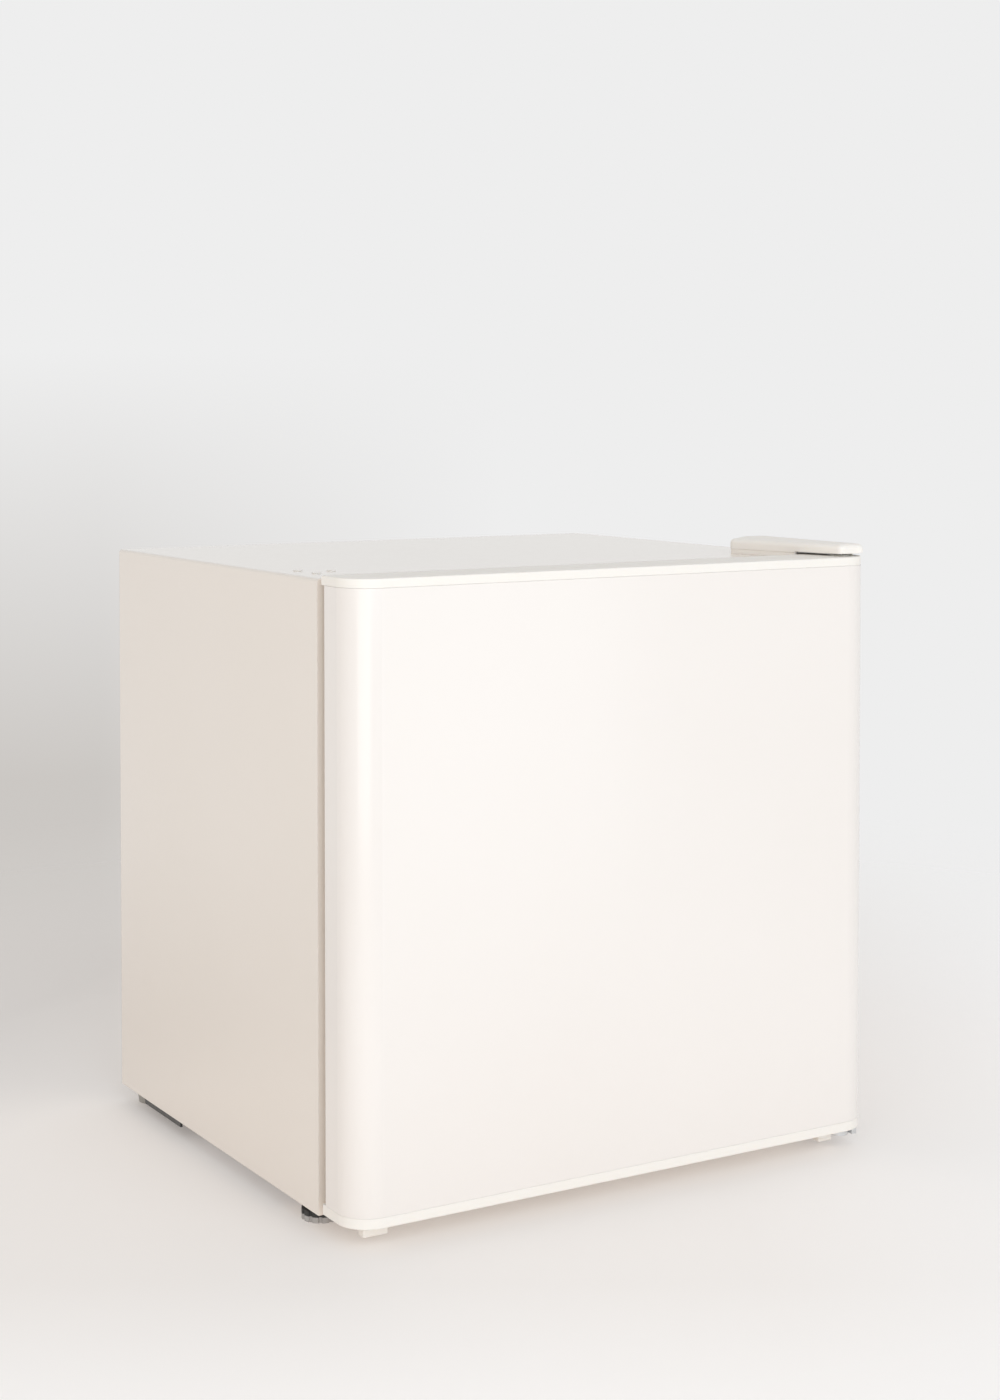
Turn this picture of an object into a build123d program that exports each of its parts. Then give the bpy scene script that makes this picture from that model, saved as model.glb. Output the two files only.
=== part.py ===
import os

from build123d import *

os.makedirs("parts", exist_ok=True)

# Cabinet and door, outside
cabinet_width = 472
cabinet_depth = 380
cabinet_height = 464
foot_height = 14
door_gap = 10
door_thickness = 44.5
condenser_depth = 15.5
cover_height = 12.5

# Steel sheet and the rim that the gasket seals on
sheet = 0.8
wrapper_bend = 3
rim = 32
rail_depth = 64

# Insulated walls, from the outside of the cabinet to the inside of the liner
side_wall = 45.5
ceiling_wall = 45.5
floor_wall = 41.5
back_wall = 46.5
step_wall = 41.5
liner_wall = 1.5
liner_corner = 10
liner_lap = 8

# Compressor niche, below and behind the food compartment
niche_depth = 130
niche_height = 164

# Clearances
slip = 0.3
running = 0.05
screw_play = 0.1
mould_gap = 0.5

# Places that follow from the sizes above; the front faces -Y
overall_depth = door_thickness + door_gap + cabinet_depth + condenser_depth
half_width = cabinet_width / 2
door_front = -overall_depth / 2
door_back = door_front + door_thickness
cab_front = door_back + door_gap
cab_back = cab_front + cabinet_depth
rear = cab_back + condenser_depth
cab_low = foot_height
cab_top = cab_low + cabinet_height
inner_half = half_width - sheet
cavity_half = half_width - side_wall
cavity_low = cab_low + floor_wall
cavity_top = cab_top - ceiling_wall
cavity_back = cab_back - back_wall
niche_front = cab_back - niche_depth
niche_top = cab_low + niche_height
step_front = niche_front - step_wall
step_top = niche_top + step_wall
liner_front = cab_front + sheet
foam_front = liner_front + liner_wall
centre_low = (Align.CENTER, Align.MIN)
low_end = (Align.CENTER, Align.CENTER, Align.MIN)
high_end = (Align.CENTER, Align.CENTER, Align.MAX)

# Ice box and, right of it, the space for the thermostat: gaps to the cavity's walls
ice_left_gap = 30.5
control_width = 100.5
ice_x = (ice_left_gap - cavity_half, cavity_half - control_width)


def block(x, y, z, mode=Mode.ADD):
    """A box given by its range along each axis."""
    with Locations((sum(x) / 2, sum(y) / 2, sum(z) / 2)):
        Box(x[1] - x[0], y[1] - y[0], z[1] - z[0], mode=mode)


def bent_sheet(points, thickness, bend=0):
    """Side view of a bent strip: its path along Y and Z, thickened to the left of its travel."""
    with BuildSketch(Plane.YZ) as strip:
        with BuildLine():
            path = FilletPolyline(*points, radius=bend)
            offset(path, amount=thickness, side=Side.LEFT, kind=Kind.INTERSECTION)
        make_face()
    return strip.sketch


def tube(points, bend, diameter):
    """A round tube along straight runs joined by bends."""
    with BuildLine() as route:
        FilletPolyline(*points, radius=bend)
    with BuildSketch(Plane(origin=route.line @ 0, z_dir=route.line % 0)) as section:
        Circle(diameter / 2)
    return sweep(section.sketch, path=route.line)


def cavity(grow, corner):
    """The space of the food compartment, with its step over the niche, grown outwards."""
    with BuildPart() as space:
        with BuildSketch(Plane.YZ):
            with BuildLine():
                Polyline(
                    (liner_front, cavity_low - grow),
                    (step_front + grow, cavity_low - grow),
                    (step_front + grow, step_top - grow),
                    (cavity_back + grow, step_top - grow),
                    (cavity_back + grow, cavity_top + grow),
                    (liner_front, cavity_top + grow),
                    close=True,
                )
            make_face()
        extrude(amount=cavity_half + grow, both=True)
        if corner:
            mouth = space.faces().sort_by(Axis.Y)[0]
            fillet(space.edges() - mouth.edges(), corner)
    return space.part


# Screws: pan heads, seated on what they hold
screw_diameter = 4.8
screw_head = 9
screw_head_height = 2.6
screw_hole = screw_diameter + 2 * screw_play


def pan_screw(length):
    """A pan-head screw along -Z, with the underside of its head at the origin."""
    with BuildPart() as screw:
        Cylinder(screw_diameter / 2, length, align=high_end)
        Cylinder(screw_head / 2, screw_head_height, align=low_end)
        chamfer(screw.faces().sort_by(Axis.Z)[-1].edges(), screw_head_height / 2)
    return screw.part


# Top hinge screws: distances from the side and from the front of the cabinet
hinge_screws_at = [(21, 74), (42, 60), (22, 45)]
hinge_screw_length = 12
anchor_thickness = 3
anchor_margin = 9
right_holes = [(half_width - x, cab_front + y) for x, y in hinge_screws_at]
left_holes = [(-x, y) for x, y in right_holes]
screw_insets = sorted(x for x, y in hinge_screws_at)
screw_setbacks = sorted(y for x, y in hinge_screws_at)
anchor_x = (half_width - screw_insets[-1] - anchor_margin, half_width - screw_insets[0] + anchor_margin)
anchor_y = (cab_front + screw_setbacks[0] - anchor_margin, cab_front + screw_setbacks[-1] + anchor_margin)
anchor_z = (cab_top - sheet - anchor_thickness, cab_top - sheet)

# Outer wrapper: one painted sheet over the sides and the top, returned along the front
with BuildPart() as outer_wrapper:
    with BuildSketch(Plane.XZ.offset(-cab_back)) as outside:
        with Locations((0, cab_low)):
            Rectangle(cabinet_width, cabinet_height, align=centre_low)
        fillet(outside.vertices().group_by(Axis.Y)[-1], wrapper_bend)
    extrude(amount=cabinet_depth)
    with BuildSketch(Plane.XZ.offset(-cab_back)) as inside:
        with Locations((0, cab_low)):
            Rectangle(2 * inner_half, cabinet_height - sheet, align=centre_low)
        fillet(inside.vertices().group_by(Axis.Y)[-1], wrapper_bend - sheet)
    extrude(amount=cabinet_depth - sheet, mode=Mode.SUBTRACT)
    with BuildSketch(Plane.XZ.offset(-cab_front)):
        with Locations((0, cab_low)):
            Rectangle(cabinet_width - 2 * rim, cabinet_height - rim, align=centre_low)
    extrude(amount=-sheet, mode=Mode.SUBTRACT)
    with Locations(*[(x, y, cab_top) for x, y in right_holes + left_holes]):
        Hole(screw_hole / 2, depth=2 * sheet)

# Levelling feet and the lower hinge share the front rail's floor flange
foot_inset = 19
foot_setback = 33
stem_diameter = 8
foot_places = [(side * (half_width - foot_inset), cab_front + foot_setback) for side in (-1, 1)]
bracket_screws_at = [(13, 11), (33, 11)]
bracket_holes = [(half_width - x, cab_front + y) for x, y in bracket_screws_at]

# Front rail: the rim below the door opening, with a floor flange behind it
with BuildPart() as front_rail:
    with BuildSketch(Plane.XZ.offset(-cab_front)):
        with Locations((0, cab_low)):
            Rectangle(cabinet_width - 2 * rim, rim, align=centre_low)
    extrude(amount=-sheet)
    with BuildSketch(Plane.XY.offset(cab_low)):
        with Locations((0, cab_front + sheet)):
            Rectangle(2 * inner_half, rail_depth - sheet, align=centre_low)
        with Locations(*foot_places):
            Circle(stem_diameter / 2 + mould_gap, mode=Mode.SUBTRACT)
        with Locations(*bracket_holes):
            Circle(screw_hole / 2, mode=Mode.SUBTRACT)
    extrude(amount=sheet)

# Pipes between the niche and the evaporator pass through one channel in the foam
pipe_lap = 6
pipe_reach = 12
pipe_setback = 15.5
pipe_channel = 22
pipe_drop = 50.5
pipe_span = 38
pipe_x = (ice_x[1] - pipe_lap, ice_x[1] + pipe_reach)
pipe_y = (cab_back - pipe_setback - pipe_channel, cab_back - pipe_setback)
pipe_z = (cavity_top - pipe_drop - pipe_span, cavity_top - pipe_drop)

# Base pan: closes the foam below and over the compressor niche
with BuildPart() as base_pan:
    pan_path = [
        (cab_front + rail_depth, cab_low),
        (niche_front, cab_low),
        (niche_front, niche_top),
        (cab_back - sheet, niche_top),
    ]
    extrude(bent_sheet(pan_path, sheet), amount=inner_half, both=True)
    block(pipe_x, pipe_y, (niche_top, niche_top + sheet), Mode.SUBTRACT)

# Condenser: passes of tube across the back, counted from the top
pass_count = 7
pass_side_gap = 64
condenser_drop = 38
condenser_rise = 46
tube_diameter = 4.8
wire_diameter = 1.6
wire_pitch = 16
wire_overhang = 12
solder_gap = 0.05
pass_half = half_width - pass_side_gap
condenser_top = cab_top - condenser_drop
pass_pitch = (condenser_top - niche_top - condenser_rise) / (pass_count - 1)
tube_y = rear - wire_diameter - solder_gap - tube_diameter / 2
pass_heights = [condenser_top - n * pass_pitch for n in range(pass_count)]
clamp_inset = 20
clamp_x = pass_half - clamp_inset
clamp_screw_drop = 12
clamp_places = [
    (x, z - clamp_screw_drop)
    for x in (-clamp_x, clamp_x)
    for z in (pass_heights[0], pass_heights[-1])
]

# Back panel: a sheet between the walls, above the niche, with a pressed frame
panel_press = 2
panel_margin = 12
panel_bar = 8
with BuildPart() as back_panel:
    panel_middle = (niche_top + sheet + cab_top - sheet) / 2
    panel_height = cab_top - niche_top - 2 * sheet
    with BuildSketch(Plane.XZ.offset(-cab_back)) as panel:
        with Locations((0, panel_middle)):
            Rectangle(2 * inner_half, panel_height)
        fillet(panel.vertices().group_by(Axis.Y)[-1], wrapper_bend - sheet + mould_gap)
    extrude(amount=sheet)
    with BuildSketch(Plane.XZ.offset(-cab_back)):
        with Locations((0, panel_middle)):
            for inset in (panel_margin, panel_margin + panel_bar):
                RectangleRounded(
                    2 * (inner_half - inset),
                    panel_height - 2 * inset,
                    panel_bar,
                    mode=Mode.ADD if inset == panel_margin else Mode.SUBTRACT,
                )
    extrude(amount=-panel_press)
    with BuildSketch(Plane.XZ.offset(-cab_back)):
        with Locations(*clamp_places):
            Circle(screw_hole / 2)
    extrude(amount=sheet, mode=Mode.SUBTRACT)

# Steel anchors foamed in under the top, on both sides because the door can be hung either way
with BuildPart() as hinge_anchors:
    for side in (-1, 1):
        block([side * x for x in sorted(anchor_x, key=lambda x: side * x)], anchor_y, anchor_z)
    with Locations(*[(x, y, cab_top) for x, y in right_holes + left_holes]):
        Hole(screw_hole / 2, depth=4 * anchor_thickness)

# Insert nuts that the levelling feet screw into
nut_diameter = 18
nut_height = 14
nut_flange = 26
nut_flange_height = 2
nut_low = cab_low + sheet
stem_length = 26
with BuildPart() as foot_nuts:
    with Locations(*[(x, y, nut_low) for x, y in foot_places]):
        Cylinder(nut_flange / 2, nut_flange_height, align=low_end)
        Cylinder(nut_diameter / 2, nut_height, align=low_end)
    with Locations(*[(x, y, nut_low + nut_height) for x, y in foot_places]):
        Hole(stem_diameter / 2 + running, depth=nut_height)

# Foam: fills the space between the steel shell and the liner
bracket_screw_length = 12
with BuildPart() as insulation_foam:
    with BuildSketch(Plane.YZ):
        with BuildLine():
            Polyline(
                (foam_front, cab_low + sheet),
                (niche_front - sheet, cab_low + sheet),
                (niche_front - sheet, niche_top + sheet),
                (cab_back - sheet, niche_top + sheet),
                (cab_back - sheet, cab_top - sheet),
                (foam_front, cab_top - sheet),
                close=True,
            )
        make_face()
    extrude(amount=inner_half, both=True)
    top_edges = insulation_foam.edges().filter_by(Axis.Y).group_by(Axis.Z)[-1]
    fillet(top_edges, wrapper_bend - sheet + mould_gap)
    add(cavity(liner_wall, 0), mode=Mode.SUBTRACT)
    add(cavity(liner_wall, liner_corner + liner_wall), mode=Mode.SUBTRACT)
    add(hinge_anchors.part, mode=Mode.SUBTRACT)
    with Locations(*[(x, y, cab_top) for x, y in right_holes + left_holes]):
        Hole(screw_hole / 2, depth=hinge_screw_length + mould_gap)
    with Locations(*[(x, y, nut_low) for x, y in foot_places]):
        Cylinder(nut_flange / 2, stem_length, align=low_end, mode=Mode.SUBTRACT)
    with Locations(*[(x, y, nut_low) for x, y in bracket_holes]):
        Cylinder(screw_hole / 2, bracket_screw_length, align=low_end, mode=Mode.SUBTRACT)
    block(pipe_x, pipe_y, (niche_top, pipe_z[1]), Mode.SUBTRACT)
    block(pipe_x, (cavity_back, pipe_y[1]), pipe_z, Mode.SUBTRACT)

# Liner: one thermoformed shell with shelf ledges on its side walls and a flange behind the rim
shelf_side_gap = 8
ledge_lap = 6
ledge_setback = 58
ledge_width = shelf_side_gap + ledge_lap
ledge_front = cab_front + ledge_setback
ledge_face = 3.5
ledge_slope = 7.5
with BuildPart() as inner_liner:
    add(cavity(liner_wall, liner_corner + liner_wall))
    with BuildSketch(Plane.XZ.offset(-liner_front)):
        with Locations((0, (cab_low + cab_top) / 2)):
            Rectangle(cabinet_width - 2 * rim + 2 * liner_lap, cabinet_height - 2 * rim + 2 * liner_lap)
    extrude(amount=-liner_wall)
    add(cavity(0, liner_corner), mode=Mode.SUBTRACT)
    with BuildSketch(Plane.XZ.offset(-ledge_front)):
        with BuildLine():
            Polyline(
                (cavity_half + liner_wall, step_top),
                (cavity_half - ledge_width, step_top),
                (cavity_half - ledge_width, step_top - ledge_face),
                (cavity_half + liner_wall, step_top - ledge_face - ledge_slope),
                close=True,
            )
        make_face()
        mirror(about=Plane.YZ)
    extrude(amount=ledge_front - step_front - liner_wall)
    block(pipe_x, (cavity_back, cavity_back + liner_wall), pipe_z, Mode.SUBTRACT)

# Door, outside: its front corners are round, its plastic caps reach further back than the skin
door_rise = 2.9
door_lift = 2.9
door_corner = 24
back_corner = 2
top_band = 7
bottom_band = 8
cap_reach = 4.5
cap_tongue = 6
cap_seam = 0.25
door_top = cab_top + door_rise
door_low = cab_low + door_lift
skin_top = door_top - top_band
skin_low = door_low + bottom_band

# Hinge axis: distances from the side of the cabinet and from the front of the door
hinge_inset = 15
hinge_setback = 22.5
hinge_x = half_width - hinge_inset
hinge_y = door_front + hinge_setback
pin_diameter = 8
bush_wall = 3
bush_flange = 5
bush_flange_height = 1
bush_length = 13
rivet_head = 13
rivet_head_height = 2

# Hinge cover: a moulded shell that tapers from the three screws to the pin, on a set-in skirt
cover_side_inset = 1
cover_front_setback = 8
cover_back = 88.5
cover_nose = 25
cover_tail = 23
cover_shoulder = (52.5, 66.5)
cover_wall = 1.8
cover_corner = 6
cover_edge = 4
cover_skirt = 4
cover_groove = 0.5
cover_door_gap = 2
cover_right = half_width - cover_side_inset
cover_y = (door_front + cover_front_setback, cab_front + cover_back)


def cover_plan(inset, z):
    """The hinge cover seen from above, drawn in from its outside."""
    with BuildSketch(Plane.XY.offset(z)) as plan:
        with BuildLine():
            Polyline(
                (cover_right, cover_y[0]),
                (cover_right, cover_y[1]),
                (cover_right - cover_tail, cover_y[1]),
                (cover_right - cover_shoulder[0], cab_front + cover_shoulder[1]),
                (cover_right - cover_nose, cover_y[0]),
                close=True,
            )
        make_face()
        fillet(plan.vertices(), cover_corner)
        if inset:
            offset(amount=-inset, mode=Mode.REPLACE)
    return plan.sketch


with BuildPart() as hinge_cover:
    extrude(cover_plan(cover_groove, cab_top), amount=cover_skirt)
    extrude(cover_plan(0, cab_top + cover_skirt), amount=cover_height - cover_skirt)
    fillet(hinge_cover.faces().sort_by(Axis.Z)[-1].edges(), cover_edge)
    extrude(
        cover_plan(cover_groove + cover_wall, cab_top),
        amount=cover_height - cover_wall,
        mode=Mode.SUBTRACT,
    )
    block((0, half_width), (door_front, cab_front), (cab_top, door_top + cover_door_gap), Mode.SUBTRACT)

# Top hinge plate: screwed to the cabinet under the cover, stepped up over the door, round about its pin
plate_thickness = 2.5
plate_bend = 3
plate_joggle = (6, 2)
arm_radius = 8
arm_low = door_top + bush_flange_height + slip
with BuildPart() as top_hinge_plate:
    plate_path = [
        (cover_y[1], cab_top + plate_thickness),
        (cab_front + plate_joggle[0], cab_top + plate_thickness),
        (cab_front + plate_joggle[1], arm_low + plate_thickness),
        (hinge_y - arm_radius, arm_low + plate_thickness),
    ]
    extrude(bent_sheet(plate_path, plate_thickness, plate_bend), amount=cabinet_width, both=True)
    with BuildSketch(Plane.XY.offset(cab_top)):
        add(cover_plan(cover_groove + cover_wall + slip, 0))
        with Locations((hinge_x, hinge_y)):
            Rectangle(cover_nose * 2, arm_radius * 2, align=(Align.CENTER, Align.MAX), mode=Mode.SUBTRACT)
            Circle(arm_radius)
            Circle(pin_diameter / 2 + screw_play, mode=Mode.SUBTRACT)
        with Locations(*right_holes):
            Circle(screw_hole / 2, mode=Mode.SUBTRACT)
    extrude(amount=cover_height, mode=Mode.INTERSECT)

pin_chamfer = 1
with BuildPart() as top_hinge_pin:
    arm_top = arm_low + plate_thickness
    with Locations((hinge_x, hinge_y, arm_top)):
        Cylinder(pin_diameter / 2, arm_top - door_top + bush_length, align=high_end)
        Cylinder(rivet_head / 2, rivet_head_height, align=low_end)
    chamfer(top_hinge_pin.faces().sort_by(Axis.Z)[-1].edges(), rivet_head_height / 2)
    chamfer(top_hinge_pin.faces().sort_by(Axis.Z)[0].edges(), pin_chamfer)

with BuildPart() as top_hinge_screws:
    with Locations(*[(x, y, cab_top + plate_thickness) for x, y in right_holes]):
        add(pan_screw(hinge_screw_length))

# Plugs that close the unused hinge holes on the left
plug_head = 7
plug_head_height = 0.8
plug_length = 5
with BuildPart() as hole_plugs:
    with Locations(*[(x, y, cab_top) for x, y in left_holes]):
        Cylinder(screw_diameter / 2, plug_length, align=high_end)
        Cylinder(plug_head / 2, plug_head_height, align=low_end)
    chamfer(hole_plugs.faces().group_by(Axis.Z)[-1].edges(), plug_head_height / 2)

# Lower hinge bracket: a zinc plate under the rail, stepped down to an arm under the door, with a stop ear
bracket_thickness = 3
bracket_drop = 3
bracket_width = 38
bracket_side_inset = 3
bracket_back = 20
bracket_shoulder = 4
bracket_joggle = (2, -4)
bracket_corner = 6
ear_reach = 4.5
ear_y = (-8, 8)
ear_rise = 3
bracket_x = (half_width - bracket_side_inset - bracket_width, half_width - bracket_side_inset)
bracket_y = (cab_front - bracket_shoulder, cab_front + bracket_back)
bracket_top = cab_low - bracket_drop
with BuildPart() as bottom_hinge_bracket:
    bracket_path = [
        (bracket_y[1], cab_low),
        (cab_front + bracket_joggle[0], cab_low),
        (cab_front + bracket_joggle[1], bracket_top),
        (hinge_y - arm_radius, bracket_top),
    ]
    extrude(bent_sheet(bracket_path, bracket_thickness, bracket_thickness), amount=cabinet_width, both=True)
    with BuildSketch():
        with BuildLine():
            Polyline(
                (bracket_x[0], bracket_y[1]),
                (bracket_x[0], bracket_y[0]),
                (hinge_x - arm_radius, hinge_y + 2 * arm_radius),
                (hinge_x - arm_radius, hinge_y),
                (hinge_x + arm_radius, hinge_y),
                (hinge_x + arm_radius, hinge_y + 2 * arm_radius),
                (bracket_x[1], bracket_y[0]),
                (bracket_x[1], bracket_y[1]),
                close=True,
            )
        make_face()
        with Locations((hinge_x, hinge_y)):
            Circle(arm_radius)
            Circle(pin_diameter / 2 + screw_play, mode=Mode.SUBTRACT)
        with Locations(*bracket_holes):
            Circle(screw_hole / 2, mode=Mode.SUBTRACT)
    extrude(amount=cab_low, mode=Mode.INTERSECT)
    rear_corners = bottom_hinge_bracket.edges().filter_by(Axis.Z).group_by(Axis.Y)[-1]
    fillet(rear_corners, bracket_corner)
    block(
        (hinge_x + arm_radius, hinge_x + arm_radius + ear_reach),
        [hinge_y + y for y in ear_y],
        (bracket_top - bracket_thickness, bracket_top + ear_rise),
    )

collar_diameter = 13
with BuildPart() as bottom_hinge_pin:
    with Locations((hinge_x, hinge_y, bracket_top)):
        Cylinder(pin_diameter / 2, bracket_thickness, align=high_end)
        Cylinder(collar_diameter / 2, door_low - bush_flange_height - slip - bracket_top, align=low_end)
        Cylinder(pin_diameter / 2, door_low + bush_length - bracket_top, align=low_end)
    chamfer(bottom_hinge_pin.faces().sort_by(Axis.Z)[-1].edges(), pin_chamfer)

with BuildPart() as bottom_hinge_screws:
    with Locations(*[Location((x, y, cab_low - bracket_thickness), (180, 0, 0)) for x, y in bracket_holes]):
        add(pan_screw(bracket_screw_length))


def door_plan(back, inset, z):
    """The door seen from above, drawn in from its outside, up to a given back face."""
    with BuildSketch(Plane.XY.offset(z)) as plan:
        with Locations((0, (door_front + back) / 2)):
            Rectangle(cabinet_width - 2 * inset, back - door_front - 2 * inset)
        fillet(plan.vertices().group_by(Axis.Y)[0], door_corner - inset)
        fillet(plan.vertices().group_by(Axis.Y)[-1], max(back_corner - inset, back_corner / 2))
    return plan.sketch


# Door skin: painted sheet round the front and the sides, returned behind
skin_return = 22
with BuildPart() as door_skin:
    extrude(door_plan(door_back, 0, skin_low), amount=skin_top - skin_low)
    extrude(door_plan(door_back, sheet, skin_low), amount=skin_top - skin_low, mode=Mode.SUBTRACT)
    block(
        (skin_return - half_width, half_width - skin_return),
        (door_back - sheet, door_back),
        (skin_low, skin_top),
        Mode.SUBTRACT,
    )

# Caps: a band flush with the skin, a tongue inside it and a seat for the hinge bush
bush_diameter = pin_diameter + 2 * bush_wall
cap_back = door_back + cap_reach
bush_place = (hinge_x, hinge_y)
bush_relief = 2
bush_seat = bush_length + bush_relief
boss_wall = 3
lug_width = 13.5
lug_depth = 8
lug_height = 9
lug_inset = 24.5
lug_setback = 19
lug_edge = 1.5


def door_cap(band, tongue_sign, outer_z):
    """One door cap: from its outer face at outer_z, with its tongue towards tongue_sign."""
    inner_z = outer_z + tongue_sign * band
    with BuildPart() as cap:
        extrude(door_plan(cap_back, 0, outer_z), amount=tongue_sign * band)
        chamfer(cap.faces().sort_by(Axis.Z)[-1 if tongue_sign > 0 else 0].edges(), cap_seam)
        extrude(door_plan(door_back, sheet + running, inner_z), amount=tongue_sign * cap_tongue)
        with BuildSketch(Plane.XY.offset(inner_z)):
            with Locations(bush_place):
                Circle(bush_diameter / 2 + boss_wall)
        extrude(amount=tongue_sign * (bush_seat - band + boss_wall))
        outer_face = cap.faces().sort_by(Axis.Z)[0 if tongue_sign > 0 else -1]
        fillet(outer_face.edges(), back_corner / 2)
        with BuildSketch(Plane.XY.offset(outer_z)):
            with Locations(bush_place):
                Circle(bush_diameter / 2 + running)
        extrude(amount=tongue_sign * bush_seat, mode=Mode.SUBTRACT)
    return cap.part


with BuildPart() as door_top_cap:
    add(door_cap(top_band, -1, door_top))

# The lower cap also has two stop lugs, of which the one by the hinge meets the bracket's ear
with BuildPart() as door_bottom_cap:
    add(door_cap(bottom_band, 1, door_low))
    with BuildSketch(Plane.XY.offset(door_low)):
        with Locations(*[
            (side * (half_width - lug_inset - lug_width / 2), door_front + lug_setback + lug_depth / 2)
            for side in (-1, 1)
        ]):
            RectangleRounded(lug_width, lug_depth, lug_edge)
    extrude(amount=-lug_height)

# Hinge bushes, flanged against the plate above and the collar below
def hinge_bush(outer_z, sign):
    """A flanged bush for the hinge pin, from the door's face inwards."""
    with BuildPart() as bush:
        with BuildSketch(Plane.XY.offset(outer_z)):
            with Locations(bush_place):
                Circle(bush_diameter / 2)
                Circle(pin_diameter / 2 + running, mode=Mode.SUBTRACT)
        extrude(amount=sign * bush_length)
        with BuildSketch(Plane.XY.offset(outer_z)):
            with Locations(bush_place):
                Circle(bush_diameter / 2 + bush_flange / 2)
                Circle(pin_diameter / 2 + running, mode=Mode.SUBTRACT)
        extrude(amount=-sign * bush_flange_height)
    return bush.part


with BuildPart() as top_hinge_bush:
    add(hinge_bush(door_top, -1))

with BuildPart() as bottom_hinge_bush:
    add(hinge_bush(door_low, 1))

# Door foam: fills the skin between the caps, up to the door liner
with BuildPart() as door_foam:
    foam_low = skin_low + cap_tongue
    foam_height = skin_top - cap_tongue - foam_low
    extrude(door_plan(door_back, sheet, foam_low), amount=foam_height)
    block(
        (skin_return - half_width, half_width - skin_return),
        (door_back - 2 * sheet, door_back),
        (foam_low, foam_low + foam_height),
    )
    with Locations(*[(*bush_place, z) for z in (foam_low, foam_low + foam_height)]):
        Cylinder(
            bush_diameter / 2 + boss_wall + running,
            2 * (bush_seat + boss_wall + mould_gap - top_band - cap_tongue),
            mode=Mode.SUBTRACT,
        )

# Gasket: a ring on the door's rim, just short of the cabinet's steel rim
gasket_width = 15
gasket_inset = 16
gasket_base = 3
gasket_lip = 2.5
gasket_floor_gap = 3
gasket_low = cab_low + rim - gasket_width - gasket_floor_gap
gasket_top = cab_top - gasket_inset
gasket_back = cab_front - slip
gasket_front = door_back + liner_wall
gasket_half = half_width - gasket_inset


def ring_plan(inset, y):
    """The gasket's outline drawn in by an inset, on the plane at y."""
    with BuildSketch(Plane.XZ.offset(-y)) as ring:
        with Locations((0, (gasket_low + gasket_top) / 2)):
            Rectangle(2 * (gasket_half - inset), gasket_top - gasket_low - 2 * inset)
    return ring.sketch


# The bulb behind the base is drawn in on both sides, so the ring has a stepped section
with BuildPart() as door_gasket:
    extrude(ring_plan(0, gasket_front), amount=-gasket_base)
    extrude(ring_plan(gasket_lip, gasket_front), amount=gasket_front - gasket_back)
    extrude(ring_plan(gasket_width, gasket_front), amount=-gasket_base, mode=Mode.SUBTRACT)
    extrude(
        ring_plan(gasket_width - gasket_lip, gasket_front + gasket_base),
        amount=gasket_front + gasket_base - gasket_back,
        mode=Mode.SUBTRACT,
    )

# Door liner: a thermoformed sheet with a rim inside the gasket and a dyke at either side of the bins
liner_margin = 10
rim_bar = 14
rim_height = 5
rim_side_gap = 12.5
rim_end_gap = 6.5
dyke_width = 16
dyke_depth = 39
dyke_end_gap = 8
dyke_rise = 32
rim_half = cavity_half - rim_side_gap
rim_low = cavity_low + rim_end_gap
rim_top = cavity_top - rim_end_gap
dyke_inner = rim_half - dyke_width
dyke_low = rim_low + dyke_end_gap

# Door bins: depth into the cabinet, where they hang, and the ears that rest on the dykes
bin_wall = 2
bin_draft = 3
bin_corner = 16
bin_play = 1.3
bin_spacing = 73
lower_bin_height = 87
lower_bin_depth = 82
upper_bin_height = 32
upper_bin_depth = 66
bin_ear = (14, 3.2, 5)
bin_ear_setback = 14
bin_rest = 8
bin_back = door_back + liner_wall + mould_gap
bin_half = dyke_inner - bin_ear[1] - bin_play
lower_bin_low = dyke_low + dyke_end_gap
upper_bin_low = lower_bin_low + lower_bin_height + bin_spacing
dyke_top = upper_bin_low + upper_bin_height + dyke_rise
rest_places = [lower_bin_low + lower_bin_height - bin_rest, upper_bin_low + upper_bin_height - bin_rest]


def formed_wall(x, depth, z):
    """A hollow wall formed out of the door liner, closed towards the cabinet."""
    face = door_back + liner_wall
    block(x, (face - liner_wall, face + depth), z)


def formed_hollow(x, depth, z):
    """The hollow behind a formed wall."""
    face = door_back + liner_wall
    inner_x = (x[0] + liner_wall, x[1] - liner_wall)
    inner_z = (z[0] + liner_wall, z[1] - liner_wall)
    block(inner_x, (face - liner_wall, face + depth - liner_wall), inner_z, Mode.SUBTRACT)


rim_walls = [
    ((-rim_half, rim_half), rim_height, (rim_top - rim_bar, rim_top)),
    ((-rim_half, rim_half), rim_height, (rim_low, rim_low + rim_bar)),
]
dyke_walls = [
    ((side * rim_half, side * dyke_inner)[:: side * -1], dyke_depth, (dyke_low, dyke_top))
    for side in (-1, 1)
]
side_walls = [(x, rim_height, (rim_low, rim_top)) for x, depth, z in dyke_walls]
with BuildPart() as door_liner:
    with BuildSketch(Plane.XZ.offset(-door_back)):
        with Locations((0, (skin_low + skin_top) / 2)):
            Rectangle(cabinet_width - 2 * liner_margin, skin_top - skin_low - 2 * slip)
    extrude(amount=-liner_wall)
    for wall in rim_walls + side_walls + dyke_walls:
        formed_wall(*wall)
    fillet(door_liner.edges().filter_by(Axis.Z).group_by(Axis.Y)[-1], liner_wall)
    for wall in dyke_walls:
        formed_hollow(*wall)
    for side in (-1, 1):
        for rest in rest_places:
            rest_x = sorted((side * dyke_inner, side * (dyke_inner - bin_ear[1])))
            rest_y = (bin_back + bin_ear_setback, bin_back + bin_ear_setback + bin_ear[0])
            block(rest_x, rest_y, (rest - bin_ear[2], rest))


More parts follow.
